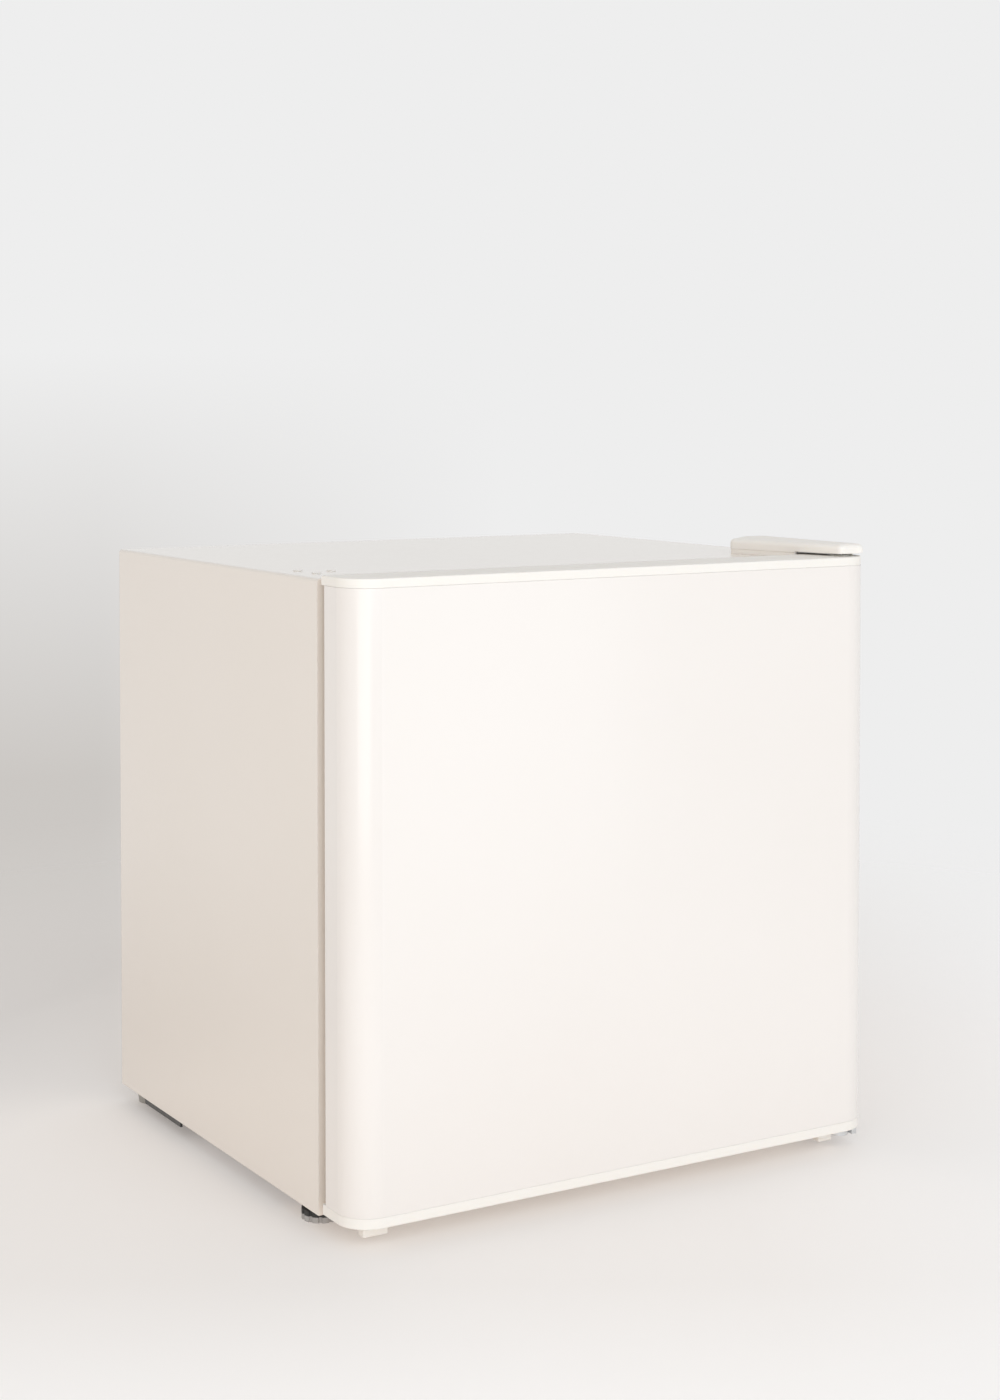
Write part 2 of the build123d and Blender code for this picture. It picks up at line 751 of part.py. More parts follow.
def bin_space(low, top, depth, inset):
    """A bin's outline lofted from its mouth down to its narrower floor, drawn in by an inset."""
    with BuildPart() as space:
        for z, narrow in ((top, inset), (low, inset + bin_draft)):
            with BuildSketch(Plane.XY.offset(z)) as plan:
                with Locations((0, bin_back + inset)):
                    Rectangle(2 * (bin_half - narrow), depth - inset - narrow, align=centre_low)
                fillet(plan.vertices().group_by(Axis.Y)[-1], bin_corner - inset)
        loft(ruled=True)
    return space.part


def door_bin(low, height, depth):
    """A lift-out bin: open above, rounded towards the cabinet, with an ear on either side."""
    top = low + height
    with BuildPart() as tray:
        add(bin_space(low, top, depth, 0))
        for side in (-1, 1):
            ear_x = sorted((side * (bin_half - bin_wall), side * (dyke_inner - mould_gap)))
            ear_y = (bin_back + bin_ear_setback, bin_back + bin_ear_setback + bin_ear[0])
            block(ear_x, ear_y, (top - bin_rest, top))
        add(bin_space(low + bin_wall, top, depth, bin_wall), mode=Mode.SUBTRACT)
    return tray.part


with BuildPart() as lower_door_bin:
    add(door_bin(lower_bin_low, lower_bin_height, lower_bin_depth))

with BuildPart() as upper_door_bin:
    add(door_bin(upper_bin_low, upper_bin_height, upper_bin_depth))

# Evaporator: a roll-bond aluminium sleeve that is the ice box, with its channels pressed outwards
ice_setback = 114.5
ice_back_gap = 13
ice_front = cab_front + ice_setback
ice_depth = cavity_back - ice_back_gap - ice_front
ice_height = 106
ice_drop = 8.5
ice_sheet = 1.5
ice_bend = 10
channel_width = 7
channel_height = 2
channel_count = 5
ice_top = cavity_top - ice_drop
ice_low = ice_top - ice_height
ice_middle = (sum(ice_x) / 2, (ice_low + ice_top) / 2)
ice_width = ice_x[1] - ice_x[0]
channel_pitch = ice_depth / (channel_count + 1)
channel_places = [ice_front + (n + 1) * channel_pitch for n in range(channel_count)]
spacer_diameter = 12
spacer_inset = 30
spacer_places = [
    (x, y)
    for x in (ice_x[0] + spacer_inset, ice_x[1] - spacer_inset)
    for y in (ice_front + channel_pitch / 2, ice_front + ice_depth - channel_pitch / 2)
]


def ice_ring(y, outer, inner, length):
    """A band round the ice box, from its outer to its inner offset, along Y."""
    with BuildSketch(Plane.XZ.offset(-y)) as ring:
        with Locations(ice_middle):
            for margin, mode in ((outer, Mode.ADD), (inner, Mode.SUBTRACT)):
                RectangleRounded(
                    ice_width + 2 * margin,
                    ice_height + 2 * margin,
                    ice_bend + margin,
                    mode=mode,
                )
    return extrude(ring.sketch, amount=-length)


with BuildPart() as evaporator:
    add(ice_ring(ice_front, 0, -ice_sheet, ice_depth))
    for y in channel_places:
        add(ice_ring(y - channel_width / 2, channel_height, -ice_sheet / 2, channel_width))
    for n, y in enumerate(channel_places[:-1]):
        link_x = ice_x[n % 2] + (ice_bend + channel_width) * (1 - 2 * (n % 2))
        with BuildSketch(Plane.XY.offset(ice_top)):
            with Locations((link_x, y)):
                Rectangle(channel_width, channel_pitch, align=centre_low)
        extrude(amount=channel_height)
    with Locations(*[(x, y, ice_top) for x, y in spacer_places]):
        Hole(screw_hole / 2, depth=2 * ice_sheet)

with BuildPart() as evaporator_spacers:
    with BuildSketch(Plane.XY.offset(ice_top)):
        with Locations(*spacer_places):
            Circle(spacer_diameter / 2)
            Circle(screw_hole / 2, mode=Mode.SUBTRACT)
    extrude(amount=ice_drop)

ice_screw_length = ice_sheet + ice_drop - mould_gap
with BuildPart() as evaporator_screws:
    with Locations(*[Location((x, y, ice_top - ice_sheet), (180, 0, 0)) for x, y in spacer_places]):
        add(pan_screw(ice_screw_length))

# Ice box front: a moulded frame with an ear at either end of the flap's hinge
frame_depth = 10
frame_lap = 6
frame_bar = 4
flap_pin = 5
flap_axis_gap = 5
flap_axis_drop = 6
ear_thickness = 7
flap_play = 1
frame_x = (ice_x[0] - frame_lap, ice_x[1] + frame_lap)
frame_front = ice_front - frame_depth
flap_axis_y = frame_front - flap_axis_gap
flap_axis_z = ice_top - flap_axis_drop
with BuildPart() as ice_box_frame:
    with BuildSketch(Plane.XZ.offset(-ice_front)):
        with Locations(ice_middle):
            RectangleRounded(ice_width + 2 * frame_lap, ice_height + 2 * frame_lap, ice_bend)
            RectangleRounded(
                ice_width - 2 * frame_bar,
                ice_height - 2 * frame_bar,
                frame_bar,
                mode=Mode.SUBTRACT,
            )
    extrude(amount=frame_depth)
    for x, way in ((frame_x[0], 1), (frame_x[1], -1)):
        with BuildSketch(Plane.YZ.offset(x)):
            with Locations((flap_axis_y, flap_axis_z)):
                Rectangle(flap_axis_gap + slip, 2 * flap_pin, align=(Align.MIN, Align.CENTER))
                Circle(flap_pin)
                Circle(flap_pin / 2 + running, mode=Mode.SUBTRACT)
        extrude(amount=way * ear_thickness)

# Ice box flap: hangs on its two pins, with a finger lip along its lower edge
flap_thickness = 3.5
flap_barrel = 8.4
flap_low = ice_low - flap_play
lip_depth = 6
lip_height = 8
flap_x = (frame_x[0] + ear_thickness + flap_play, frame_x[1] - ear_thickness - flap_play)
flap_back = frame_front - slip
with BuildPart() as ice_box_flap:
    block(flap_x, (flap_back - flap_thickness, flap_back), (flap_low, flap_axis_z))
    with BuildSketch(Plane.YZ.offset(flap_x[0])):
        with Locations((flap_axis_y, flap_axis_z)):
            Circle(flap_barrel / 2)
    extrude(amount=flap_x[1] - flap_x[0])
    with BuildSketch(Plane.YZ.offset(frame_x[0] + slip)):
        with Locations((flap_axis_y, flap_axis_z)):
            Circle(flap_pin / 2)
    extrude(amount=frame_x[1] - frame_x[0] - 2 * slip)
    with BuildSketch(Plane.YZ.offset(flap_x[0])):
        with BuildLine():
            Polyline(
                (flap_back - flap_thickness, flap_low),
                (flap_back - flap_thickness - lip_depth, flap_low),
                (flap_back - flap_thickness, flap_low + lip_height),
                close=True,
            )
        make_face()
    extrude(amount=flap_x[1] - flap_x[0])

# Runners under the ice box, and the drip tray that slides on them
runner_web = 1.5
runner_lip = 9
runner_drop = 18
tray_rim = 8
tray_wall = 2
tray_depth = 17
tray_back_gap = 8
tray_rim_play = 3
runner_inset = 6
tray_front = frame_front
tray_back = ice_front + ice_depth - tray_back_gap
tray_corner = 8
pull_depth = 5
pull_width = 90
lip_top = ice_low - channel_height - runner_drop + runner_web
runner_top = ice_low - channel_height
runner_x = (ice_x[0] + runner_inset, ice_x[1] - runner_inset)
with BuildPart() as tray_runners:
    for x, way in ((runner_x[0], 1), (runner_x[1], -1)):
        with BuildSketch(Plane.XZ.offset(-ice_front)):
            with BuildLine():
                Polyline(
                    (x - way * runner_web, runner_top),
                    (x - way * runner_web, lip_top - runner_web),
                    (x + way * runner_lip, lip_top - runner_web),
                    (x + way * runner_lip, lip_top),
                    (x, lip_top),
                    (x, runner_top - runner_web),
                    (x + way * runner_lip, runner_top - runner_web),
                    (x + way * runner_lip, runner_top),
                    close=True,
                )
            make_face()
        extrude(amount=-ice_depth + channel_width)

tray_top = lip_top + slip + tray_wall
tray_low = tray_top - tray_depth
tray_x = (runner_x[0] + mould_gap, runner_x[1] - mould_gap)
tray_middle = (sum(tray_x) / 2, (tray_front + tray_back) / 2)
with BuildPart() as drip_tray:
    rim_size = (tray_x[1] - tray_x[0], tray_back - tray_front)
    pan_size = (rim_size[0] - 2 * tray_rim - tray_rim_play, rim_size[1] - 2 * tray_wall)
    with BuildSketch(Plane.XY.offset(tray_top - tray_wall)):
        with Locations(tray_middle):
            RectangleRounded(*rim_size, tray_corner / 2)
    extrude(amount=tray_wall)
    with BuildSketch(Plane.XY.offset(tray_low)):
        with Locations(tray_middle):
            RectangleRounded(*pan_size, tray_corner)
    extrude(amount=tray_depth)
    with BuildSketch(Plane.XY.offset(tray_low + tray_wall)):
        with Locations(tray_middle):
            RectangleRounded(*[size - 2 * tray_wall for size in pan_size], tray_corner - tray_wall)
    extrude(amount=tray_depth, mode=Mode.SUBTRACT)
    with BuildSketch(Plane.XY.offset(tray_top - 2 * tray_wall)):
        with Locations((tray_middle[0], tray_front + tray_wall)):
            Rectangle(pull_width, pull_depth + tray_wall, align=(Align.CENTER, Align.MAX))
    extrude(amount=2 * tray_wall)

# Shelf: welded wire, a frame with wires across it and a raised stop at the back
frame_wire = 5
shelf_wire = 3
shelf_half = cavity_half - shelf_side_gap
shelf_setback = 70.5
shelf_front = cab_front + shelf_setback
shelf_back = cavity_back - shelf_side_gap
shelf_corner = 14
shelf_pitch = 20
weld = 0.6
stop_height = 16
shelf_z = step_top + slip + frame_wire / 2
wire_z = shelf_z + frame_wire / 2 + shelf_wire / 2 - weld
side_x = shelf_half - frame_wire / 2
front_y = shelf_front + frame_wire / 2
back_y = shelf_back - frame_wire / 2
wires_each_way = int((side_x - frame_wire) // shelf_pitch)
with BuildPart() as wire_shelf:
    add(tube(
        [
            (-side_x, back_y, shelf_z),
            (-side_x, front_y, shelf_z),
            (side_x, front_y, shelf_z),
            (side_x, back_y, shelf_z),
        ],
        shelf_corner,
        frame_wire,
    ))
    add(tube(
        [
            (-side_x, back_y - weld, shelf_z - weld),
            (-side_x, back_y - weld, shelf_z + stop_height),
            (side_x, back_y - weld, shelf_z + stop_height),
            (side_x, back_y - weld, shelf_z - weld),
        ],
        shelf_corner / 2,
        frame_wire,
    ))
    for y in (front_y + (back_y - front_y) / 2, back_y - frame_wire):
        with BuildSketch(Plane.YZ.offset(-side_x)):
            with Locations((y, shelf_z)):
                Circle(shelf_wire / 2)
        extrude(amount=2 * side_x)
    with BuildSketch(Plane.XZ.offset(-front_y + frame_wire / 4)):
        with Locations(*[(n * shelf_pitch, wire_z) for n in range(-wires_each_way, wires_each_way + 1)]):
            Circle(shelf_wire / 2)
    extrude(amount=-(back_y - front_y))

# Thermostat: a moulded housing under the ceiling, right of the ice box, with its knob in front
housing_side_gap = 10.5
housing_width = 70
housing_setback = 120
housing_length = 102
housing_drop = 50
housing_wall = 2
housing_edge = 6
shaft_diameter = 6
knob_diameter = 36
knob_depth = 14
knob_grip = 8
switch_size = (44, 34, 34)
capillary_diameter = 2.4
sensor_bend = 4
sensor_run = 24
housing_x = (cavity_half - housing_side_gap - housing_width, cavity_half - housing_side_gap)
housing_y = (cab_front + housing_setback, cab_front + housing_setback + housing_length)
housing_low = cavity_top - housing_drop
knob_x = sum(housing_x) / 2
knob_z = cavity_top - housing_drop / 2
switch_y = (housing_y[0] + housing_wall, housing_y[0] + housing_wall + switch_size[1])
sensor_y = sum(switch_y) / 2
with BuildPart() as thermostat_housing:
    with BuildSketch(Plane.XY.offset(housing_low)):
        with Locations((knob_x, sum(housing_y) / 2)):
            RectangleRounded(housing_x[1] - housing_x[0], housing_y[1] - housing_y[0], housing_edge)
    extrude(amount=housing_drop)
    fillet(thermostat_housing.faces().sort_by(Axis.Z)[0].edges(), housing_edge / 2)
    offset(amount=-housing_wall, openings=thermostat_housing.faces().sort_by(Axis.Z)[-1])
    with BuildSketch(Plane.XZ.offset(-housing_y[0])):
        with Locations((knob_x, knob_z)):
            Circle(shaft_diameter / 2 + mould_gap)
    extrude(amount=-housing_wall, mode=Mode.SUBTRACT)
    with BuildSketch(Plane.YZ.offset(housing_x[0])):
        with Locations((sensor_y, knob_z)):
            Circle(capillary_diameter / 2 + mould_gap)
    extrude(amount=housing_wall, mode=Mode.SUBTRACT)

shaft_reach = 18
with BuildPart() as thermostat_switch:
    with BuildSketch(Plane.XZ.offset(-switch_y[0])):
        with Locations((knob_x, knob_z)):
            RectangleRounded(switch_size[0], switch_size[2], housing_wall)
            Circle(shaft_diameter / 2 + running, mode=Mode.SUBTRACT)
    extrude(amount=-shaft_reach)
    with BuildSketch(Plane.XZ.offset(-switch_y[0] - shaft_reach)):
        with Locations((knob_x, knob_z)):
            RectangleRounded(switch_size[0], switch_size[2], housing_wall)
    extrude(amount=-(switch_size[1] - shaft_reach))

# The sensing tube runs from the switch to the side of the ice box, along which it is clamped
with BuildPart() as sensing_tube:
    tube_x = ice_x[1] + capillary_diameter / 2 + solder_gap
    start_x = knob_x - switch_size[0] / 2
    bulb_y = (channel_places[0] + 1.5 * channel_width, channel_places[1] - channel_width)
    add(tube(
        [
            (start_x, sensor_y, knob_z),
            (start_x - sensor_run, sensor_y, knob_z),
            (tube_x, bulb_y[0], knob_z),
            (tube_x, bulb_y[1], knob_z),
        ],
        sensor_bend,
        capillary_diameter,
    ))

knob_back = housing_y[0] - slip
with BuildPart() as thermostat_shaft:
    with BuildSketch(Plane.XZ.offset(-knob_back + knob_depth / 2)):
        with Locations((knob_x, knob_z)):
            Circle(shaft_diameter / 2)
    extrude(amount=-(switch_y[0] + shaft_reach - slip - knob_back + knob_depth / 2))

# Knob: a disc with a raised grip bar across it
knob_edge = 1.5
with BuildPart() as thermostat_knob:
    with BuildSketch(Plane.XZ.offset(-knob_back)):
        with Locations((knob_x, knob_z)):
            Circle(knob_diameter / 2)
    extrude(amount=knob_depth / 2)
    with BuildSketch(Plane.XZ.offset(-knob_back + knob_depth / 2)):
        with Locations((knob_x, knob_z)):
            SlotOverall(knob_diameter - knob_edge, knob_grip, rotation=90)
    extrude(amount=knob_depth / 2)
    fillet(thermostat_knob.faces().sort_by(Axis.Y)[0].edges(), knob_edge)
    with BuildSketch(Plane.XZ.offset(-knob_back)):
        with Locations((knob_x, knob_z)):
            Circle(shaft_diameter / 2 + running)
    extrude(amount=knob_depth / 2, mode=Mode.SUBTRACT)

# Levelling feet: a ribbed disc on a screw stem
foot_diameter = 30
foot_disc = 8
foot_ribs = 12
foot_rib = 1.5


def levelling_foot(place):
    """One levelling foot, standing on the floor."""
    x, y = place
    with BuildPart() as foot:
        with BuildSketch():
            with Locations((x, y)):
                Circle(foot_diameter / 2)
                with PolarLocations(foot_diameter / 2, foot_ribs):
                    Circle(foot_rib, mode=Mode.SUBTRACT)
        extrude(amount=foot_disc)
        with Locations((x, y, foot_disc)):
            Cylinder(stem_diameter / 2, stem_length - slip + nut_low - foot_disc, align=low_end)
    return foot.part


with BuildPart() as front_left_foot:
    add(levelling_foot(foot_places[0]))

with BuildPart() as front_right_foot:
    add(levelling_foot(foot_places[1]))

# Compressor plate across the niche, with a skid down either side, and the fixed feet under its rear corners
comp_plate = 2
plate_flange = 14
plate_front_gap = 6
plate_back_gap = 2
skid_inset = 0.5
skid_depth = 5
skid_length = 75
comp_plate_y = (niche_front + plate_front_gap, cab_back - plate_back_gap)
rear_foot_diameter = 24
rear_foot_taper = 2
rear_foot_inset = 20
rear_foot_setback = 16
rear_foot_places = [
    (side * (half_width - rear_foot_inset), cab_back - rear_foot_setback) for side in (-1, 1)
]
comp_x = 60
comp_setback = 68
comp_y = niche_front + comp_setback
comp_radii = (62, 48)
comp_low = 30
comp_height = 116
comp_foot = (56, 44)
comp_foot_places = [
    (comp_x + i * comp_foot[0], comp_y + j * comp_foot[1]) for i in (-1, 1) for j in (-1, 1)
]
plate_top = cab_low + comp_plate
with BuildPart() as compressor_plate:
    flange_path = [
        (comp_plate_y[0], plate_top + plate_flange),
        (comp_plate_y[0], cab_low),
        (comp_plate_y[1], cab_low),
        (comp_plate_y[1], plate_top + plate_flange / 2),
    ]
    extrude(bent_sheet(flange_path, comp_plate), amount=inner_half, both=True)
    for side in (-1, 1):
        skid_x = sorted(side * (inner_half - skid_inset - depth) for depth in (0, comp_plate))
        skid_y = (comp_plate_y[0], comp_plate_y[0] + skid_length)
        block(skid_x, skid_y, (cab_low - skid_depth, cab_low + comp_plate))
    with Locations(*[(x, y, plate_top) for x, y in comp_foot_places + rear_foot_places]):
        Hole(screw_hole / 2, depth=comp_plate)

foot_plug = 6
with BuildPart() as rear_feet:
    with Locations(*[(x, y, 0) for x, y in rear_foot_places]):
        Cone(rear_foot_diameter / 2 - rear_foot_taper, rear_foot_diameter / 2, cab_low, align=low_end)
        Cylinder(screw_diameter / 2, cab_low + foot_plug, align=low_end)

# Compressor: two drawn steel halves welded at a flange, on a footed base
base_thickness = 3
comp_seam = 3
comp_seam_rise = 64
comp_crown = 26
grommet_diameter = 22
grommet_neck = 10
grommet_rise = 1
comp_base_z = comp_low - base_thickness
with BuildPart() as compressor_shell:
    with BuildSketch(Plane.XY.offset(comp_low)):
        with Locations((comp_x, comp_y)):
            Ellipse(*comp_radii)
    extrude(amount=comp_height)
    fillet(compressor_shell.faces().sort_by(Axis.Z)[-1].edges(), comp_crown)
    with BuildSketch(Plane.XY.offset(comp_low + comp_seam_rise)):
        with Locations((comp_x, comp_y)):
            Ellipse(comp_radii[0] + comp_seam, comp_radii[1] + comp_seam)
    extrude(amount=comp_seam)
    with BuildSketch(Plane.XY.offset(comp_base_z)):
        with Locations((comp_x, comp_y)):
            RectangleRounded(
                2 * comp_foot[0] + grommet_diameter,
                2 * comp_foot[1] + grommet_diameter,
                grommet_neck,
            )
        with Locations(*comp_foot_places):
            Circle(grommet_neck / 2 + mould_gap, mode=Mode.SUBTRACT)
    extrude(amount=base_thickness)

with BuildPart() as compressor_grommets:
    with BuildSketch(Plane.XY.offset(plate_top)):
        with Locations(*comp_foot_places):
            Circle(grommet_diameter / 2)
            Circle(screw_hole / 2, mode=Mode.SUBTRACT)
    extrude(amount=comp_base_z - plate_top)
    with BuildSketch(Plane.XY.offset(comp_base_z)):
        with Locations(*comp_foot_places):
            Circle(grommet_neck / 2)
            Circle(screw_hole / 2, mode=Mode.SUBTRACT)
    extrude(amount=base_thickness + grommet_rise)

with BuildPart() as compressor_bolts:
    with Locations(*[(x, y, comp_low + grommet_rise) for x, y in comp_foot_places]):
        add(pan_screw(comp_low + grommet_rise - cab_low))

# Terminal cover on the compressor's left side, with the inlet for the mains lead
terminal_size = (38, 52, 62)
terminal_rise = 28
terminal_lap = 8
terminal_corner = 5
terminal_edge = 3
inlet_diameter = 7
inlet_collar = 13
inlet_length = 6
inlet_depth = 14
inlet_offset = 22.8
with BuildPart() as terminal_cover:
    terminal_x = comp_x - comp_radii[0] + terminal_lap
    terminal_z = comp_low + terminal_rise
    with BuildSketch(Plane.XY.offset(terminal_z)):
        with Locations((terminal_x - terminal_size[0] / 2, comp_y)):
            RectangleRounded(terminal_size[0], terminal_size[1], terminal_corner)
    extrude(amount=terminal_size[2])
    fillet(terminal_cover.faces().sort_by(Axis.Z)[-1].edges(), terminal_edge)
    with BuildSketch(Plane.XY.offset(terminal_z)):
        with Locations((terminal_x - inlet_offset, comp_y)):
            Circle(inlet_collar / 2)
    extrude(amount=-inlet_length)
    with BuildSketch(Plane.XY.offset(terminal_z - inlet_length)):
        with Locations((terminal_x - inlet_offset, comp_y)):
            Circle(inlet_diameter / 2)
    extrude(amount=inlet_length + inlet_depth, mode=Mode.SUBTRACT)
    with BuildSketch(Plane.XY.offset(comp_low)):
        with Locations((comp_x, comp_y)):
            Ellipse(comp_radii[0] + comp_seam + slip, comp_radii[1] + comp_seam + slip)
    extrude(amount=comp_height, mode=Mode.SUBTRACT)

# Condenser: one tube in passes down the back, with wires welded on both of its faces
drier_gap = 22
drier_length = 100
drier_setback = 4
drier_drop = 26
drop_gap = 28
drier_x = (drier_gap - pass_half, drier_gap - pass_half + drier_length)
drier_y = comp_y + drier_setback
drier_z = niche_top - drier_drop
drop_x = pass_half + drop_gap
pass_bend = pass_pitch / 2 - mould_gap
inlet_z = pass_heights[2]
with BuildPart() as condenser_tube:
    route = [(drop_x, tube_y, inlet_z), (drop_x, tube_y, pass_heights[0])]
    for n, z in enumerate(pass_heights):
        end = -pass_half if n % 2 == 0 else pass_half
        last = n == pass_count - 1
        route.append((-drop_x if last else end, tube_y, z))
        if not last:
            route.append((end, tube_y, pass_heights[n + 1]))
    route.append((-drop_x, tube_y, drier_z))
    route.append((-drop_x, drier_y, drier_z))
    route.append((drier_x[0] - solder_gap, drier_y, drier_z))
    add(tube(route, pass_bend, tube_diameter))

wire_low = pass_heights[-1] - wire_overhang
wire_length = pass_heights[0] + wire_overhang - wire_low
wires_a_side = int((pass_half - wire_overhang) // wire_pitch)
wire_offset = tube_diameter / 2 + solder_gap + wire_diameter / 2
with BuildPart() as condenser_wires:
    with BuildSketch(Plane.XY.offset(wire_low)):
        with Locations(*[
            (n * wire_pitch, tube_y + side * wire_offset)
            for n in range(-wires_a_side, wires_a_side + 1)
            for side in (-1, 1)
        ]):
            RegularPolygon(wire_diameter / 2, 8)
    extrude(amount=wire_length)

# Clamps that hold the first and last pass off the back panel
clamp_width = 12
clamp_foot = 8
clamp_face = tube_y - tube_diameter / 2 - solder_gap
with BuildPart() as condenser_clamps:
    with BuildSketch(Plane.XZ.offset(-cab_back)):
        with Locations(*clamp_places):
            with Locations((0, clamp_screw_drop / 2)):
                SlotOverall(clamp_screw_drop + 2 * clamp_foot, clamp_width, rotation=90)
            Circle(screw_hole / 2, mode=Mode.SUBTRACT)
    extrude(amount=-(clamp_face - cab_back))

# Filter drier: a copper cartridge drawn down to its tube at either end
drier_diameter = 18
drier_neck = 12
drier_mouth = tube_diameter / 2 + sheet
with BuildPart() as filter_drier:
    with BuildSketch(Plane.XZ.offset(-drier_y)):
        with BuildLine():
            Polyline(
                (drier_x[0], drier_z),
                (drier_x[0], drier_z + drier_mouth),
                (drier_x[0] + drier_neck, drier_z + drier_diameter / 2),
                (drier_x[1] - drier_neck, drier_z + drier_diameter / 2),
                (drier_x[1], drier_z + drier_mouth),
                (drier_x[1], drier_z),
                close=True,
            )
        make_face()
    revolve(axis=Axis((0, drier_y, drier_z), (1, 0, 0)))

# Pipes: hot gas to the condenser, liquid through the capillary, cold vapour back to the compressor
suction_diameter = 6.4
suction_rise = 14
suction_offset = 15
suction_bend = 7
suction_inset = 6
suction_drop = 10
discharge_rise = 84
discharge_bend = 12
liquid_run = 20
liquid_drop = 7
liquid_bend = 6
liquid_inset = 4
liquid_rise = 8
pipe_end_gap = 24
process_offset = 20
process_rise = 12
process_length = 38
seal_height = 9
seal_depth = 6
comp_top = comp_low + comp_height
discharge_z = comp_low + discharge_rise
suction_x = ice_x[1] + channel_height + suction_diameter / 2 + solder_gap
suction_y = pipe_y[1] - suction_inset
suction_z = pipe_z[1] - suction_drop
liquid_x = ice_x[1] + channel_height + capillary_diameter / 2 + solder_gap
liquid_y = pipe_y[0] + liquid_inset
liquid_low = niche_top - liquid_drop
liquid_z = pipe_z[0] + liquid_rise
pipe_end_y = ice_front + ice_depth - pipe_end_gap
with BuildPart() as discharge_tube:
    add(tube(
        [
            (comp_x + comp_radii[0] + solder_gap, comp_y, discharge_z),
            (drop_x, comp_y, discharge_z),
            (drop_x, tube_y, discharge_z),
            (drop_x, tube_y, inlet_z - solder_gap),
        ],
        discharge_bend,
        tube_diameter,
    ))

with BuildPart() as suction_tube:
    add(tube(
        [
            (comp_x + suction_offset, comp_y, comp_top + solder_gap),
            (comp_x + suction_offset, comp_y, comp_top + suction_rise),
            (suction_x, suction_y, comp_top + suction_rise),
            (suction_x, suction_y, suction_z),
            (suction_x, pipe_end_y, suction_z),
        ],
        suction_bend,
        suction_diameter,
    ))

with BuildPart() as capillary_tube:
    add(tube(
        [
            (drier_x[1] + solder_gap, drier_y, drier_z),
            (drier_x[1] + liquid_run, drier_y, drier_z),
            (drier_x[1] + liquid_run, drier_y, liquid_low),
            (drier_x[1] + liquid_run, liquid_y, liquid_low),
            (liquid_x, liquid_y, liquid_low),
            (liquid_x, liquid_y, liquid_z),
            (liquid_x, pipe_end_y, liquid_z),
        ],
        liquid_bend,
        capillary_diameter,
    ))

with BuildPart() as process_tube:
    add(tube(
        [
            (comp_x - process_offset, comp_y, comp_top + solder_gap),
            (comp_x - process_offset, comp_y, comp_top + process_rise),
            (comp_x - process_offset, comp_y + process_length, comp_top + process_rise),
        ],
        suction_bend,
        suction_diameter,
    ))

# Seals where the two pipes leave the foam: over the niche and behind the ice box
with BuildPart() as pipe_seals:
    block(pipe_x, pipe_y, (niche_top, niche_top + seal_height))
    block(pipe_x, (cavity_back, cavity_back + seal_depth), pipe_z)
    for x, y, z, diameter in (
        (suction_x, suction_y, suction_z, suction_diameter),
        (liquid_x, liquid_y, liquid_z, capillary_diameter),
    ):
        with Locations((x, y, niche_top)):
            Cylinder(diameter / 2 + running, 4 * seal_height, mode=Mode.SUBTRACT)
        with Locations((x, cavity_back, z)):
            Cylinder(diameter / 2 + running, 4 * seal_depth, rotation=(90, 0, 0), mode=Mode.SUBTRACT)

with BuildPart() as condenser_screws:
    with Locations(*[Location((x, clamp_face, z), (-90, 0, 0)) for x, z in clamp_places]):
        add(pan_screw(clamp_face - cab_back + sheet))

pieces = {
    "outer_wrapper": outer_wrapper,
    "front_rail": front_rail,
    "base_pan": base_pan,
    "back_panel": back_panel,
    "insulation_foam": insulation_foam,
    "inner_liner": inner_liner,
    "hinge_anchors": hinge_anchors,
    "foot_nuts": foot_nuts,
    "top_hinge_plate": top_hinge_plate,
    "top_hinge_pin": top_hinge_pin,
    "top_hinge_screws": top_hinge_screws,
    "hinge_cover": hinge_cover,
    "hole_plugs": hole_plugs,
    "bottom_hinge_bracket": bottom_hinge_bracket,
    "bottom_hinge_pin": bottom_hinge_pin,
    "bottom_hinge_screws": bottom_hinge_screws,
    "door_skin": door_skin,
    "door_top_cap": door_top_cap,
    "door_bottom_cap": door_bottom_cap,
    "top_hinge_bush": top_hinge_bush,
    "bottom_hinge_bush": bottom_hinge_bush,
    "door_foam": door_foam,
    "door_gasket": door_gasket,
    "door_liner": door_liner,
    "lower_door_bin": lower_door_bin,
    "upper_door_bin": upper_door_bin,
    "evaporator": evaporator,
    "evaporator_spacers": evaporator_spacers,
    "evaporator_screws": evaporator_screws,
    "ice_box_frame": ice_box_frame,
    "ice_box_flap": ice_box_flap,
    "tray_runners": tray_runners,
    "drip_tray": drip_tray,
    "wire_shelf": wire_shelf,
    "thermostat_housing": thermostat_housing,
    "thermostat_switch": thermostat_switch,
    "sensing_tube": sensing_tube,
    "thermostat_shaft": thermostat_shaft,
    "thermostat_knob": thermostat_knob,
    "front_left_foot": front_left_foot,
    "front_right_foot": front_right_foot,
    "compressor_plate": compressor_plate,
    "rear_feet": rear_feet,
    "compressor_shell": compressor_shell,
    "compressor_grommets": compressor_grommets,
    "compressor_bolts": compressor_bolts,
    "terminal_cover": terminal_cover,
    "condenser_tube": condenser_tube,
    "condenser_wires": condenser_wires,
    "condenser_clamps": condenser_clamps,
    "condenser_screws": condenser_screws,
    "filter_drier": filter_drier,
    "discharge_tube": discharge_tube,
    "suction_tube": suction_tube,
    "capillary_tube": capillary_tube,
    "process_tube": process_tube,
    "pipe_seals": pipe_seals,
}
for name, piece in pieces.items():
    piece.part.label = name
    export_step(piece.part, f"parts/{name}.step")
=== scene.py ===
from math import cos, pi, radians, sin
import bmesh
import bpy
from mathutils import Matrix, Vector


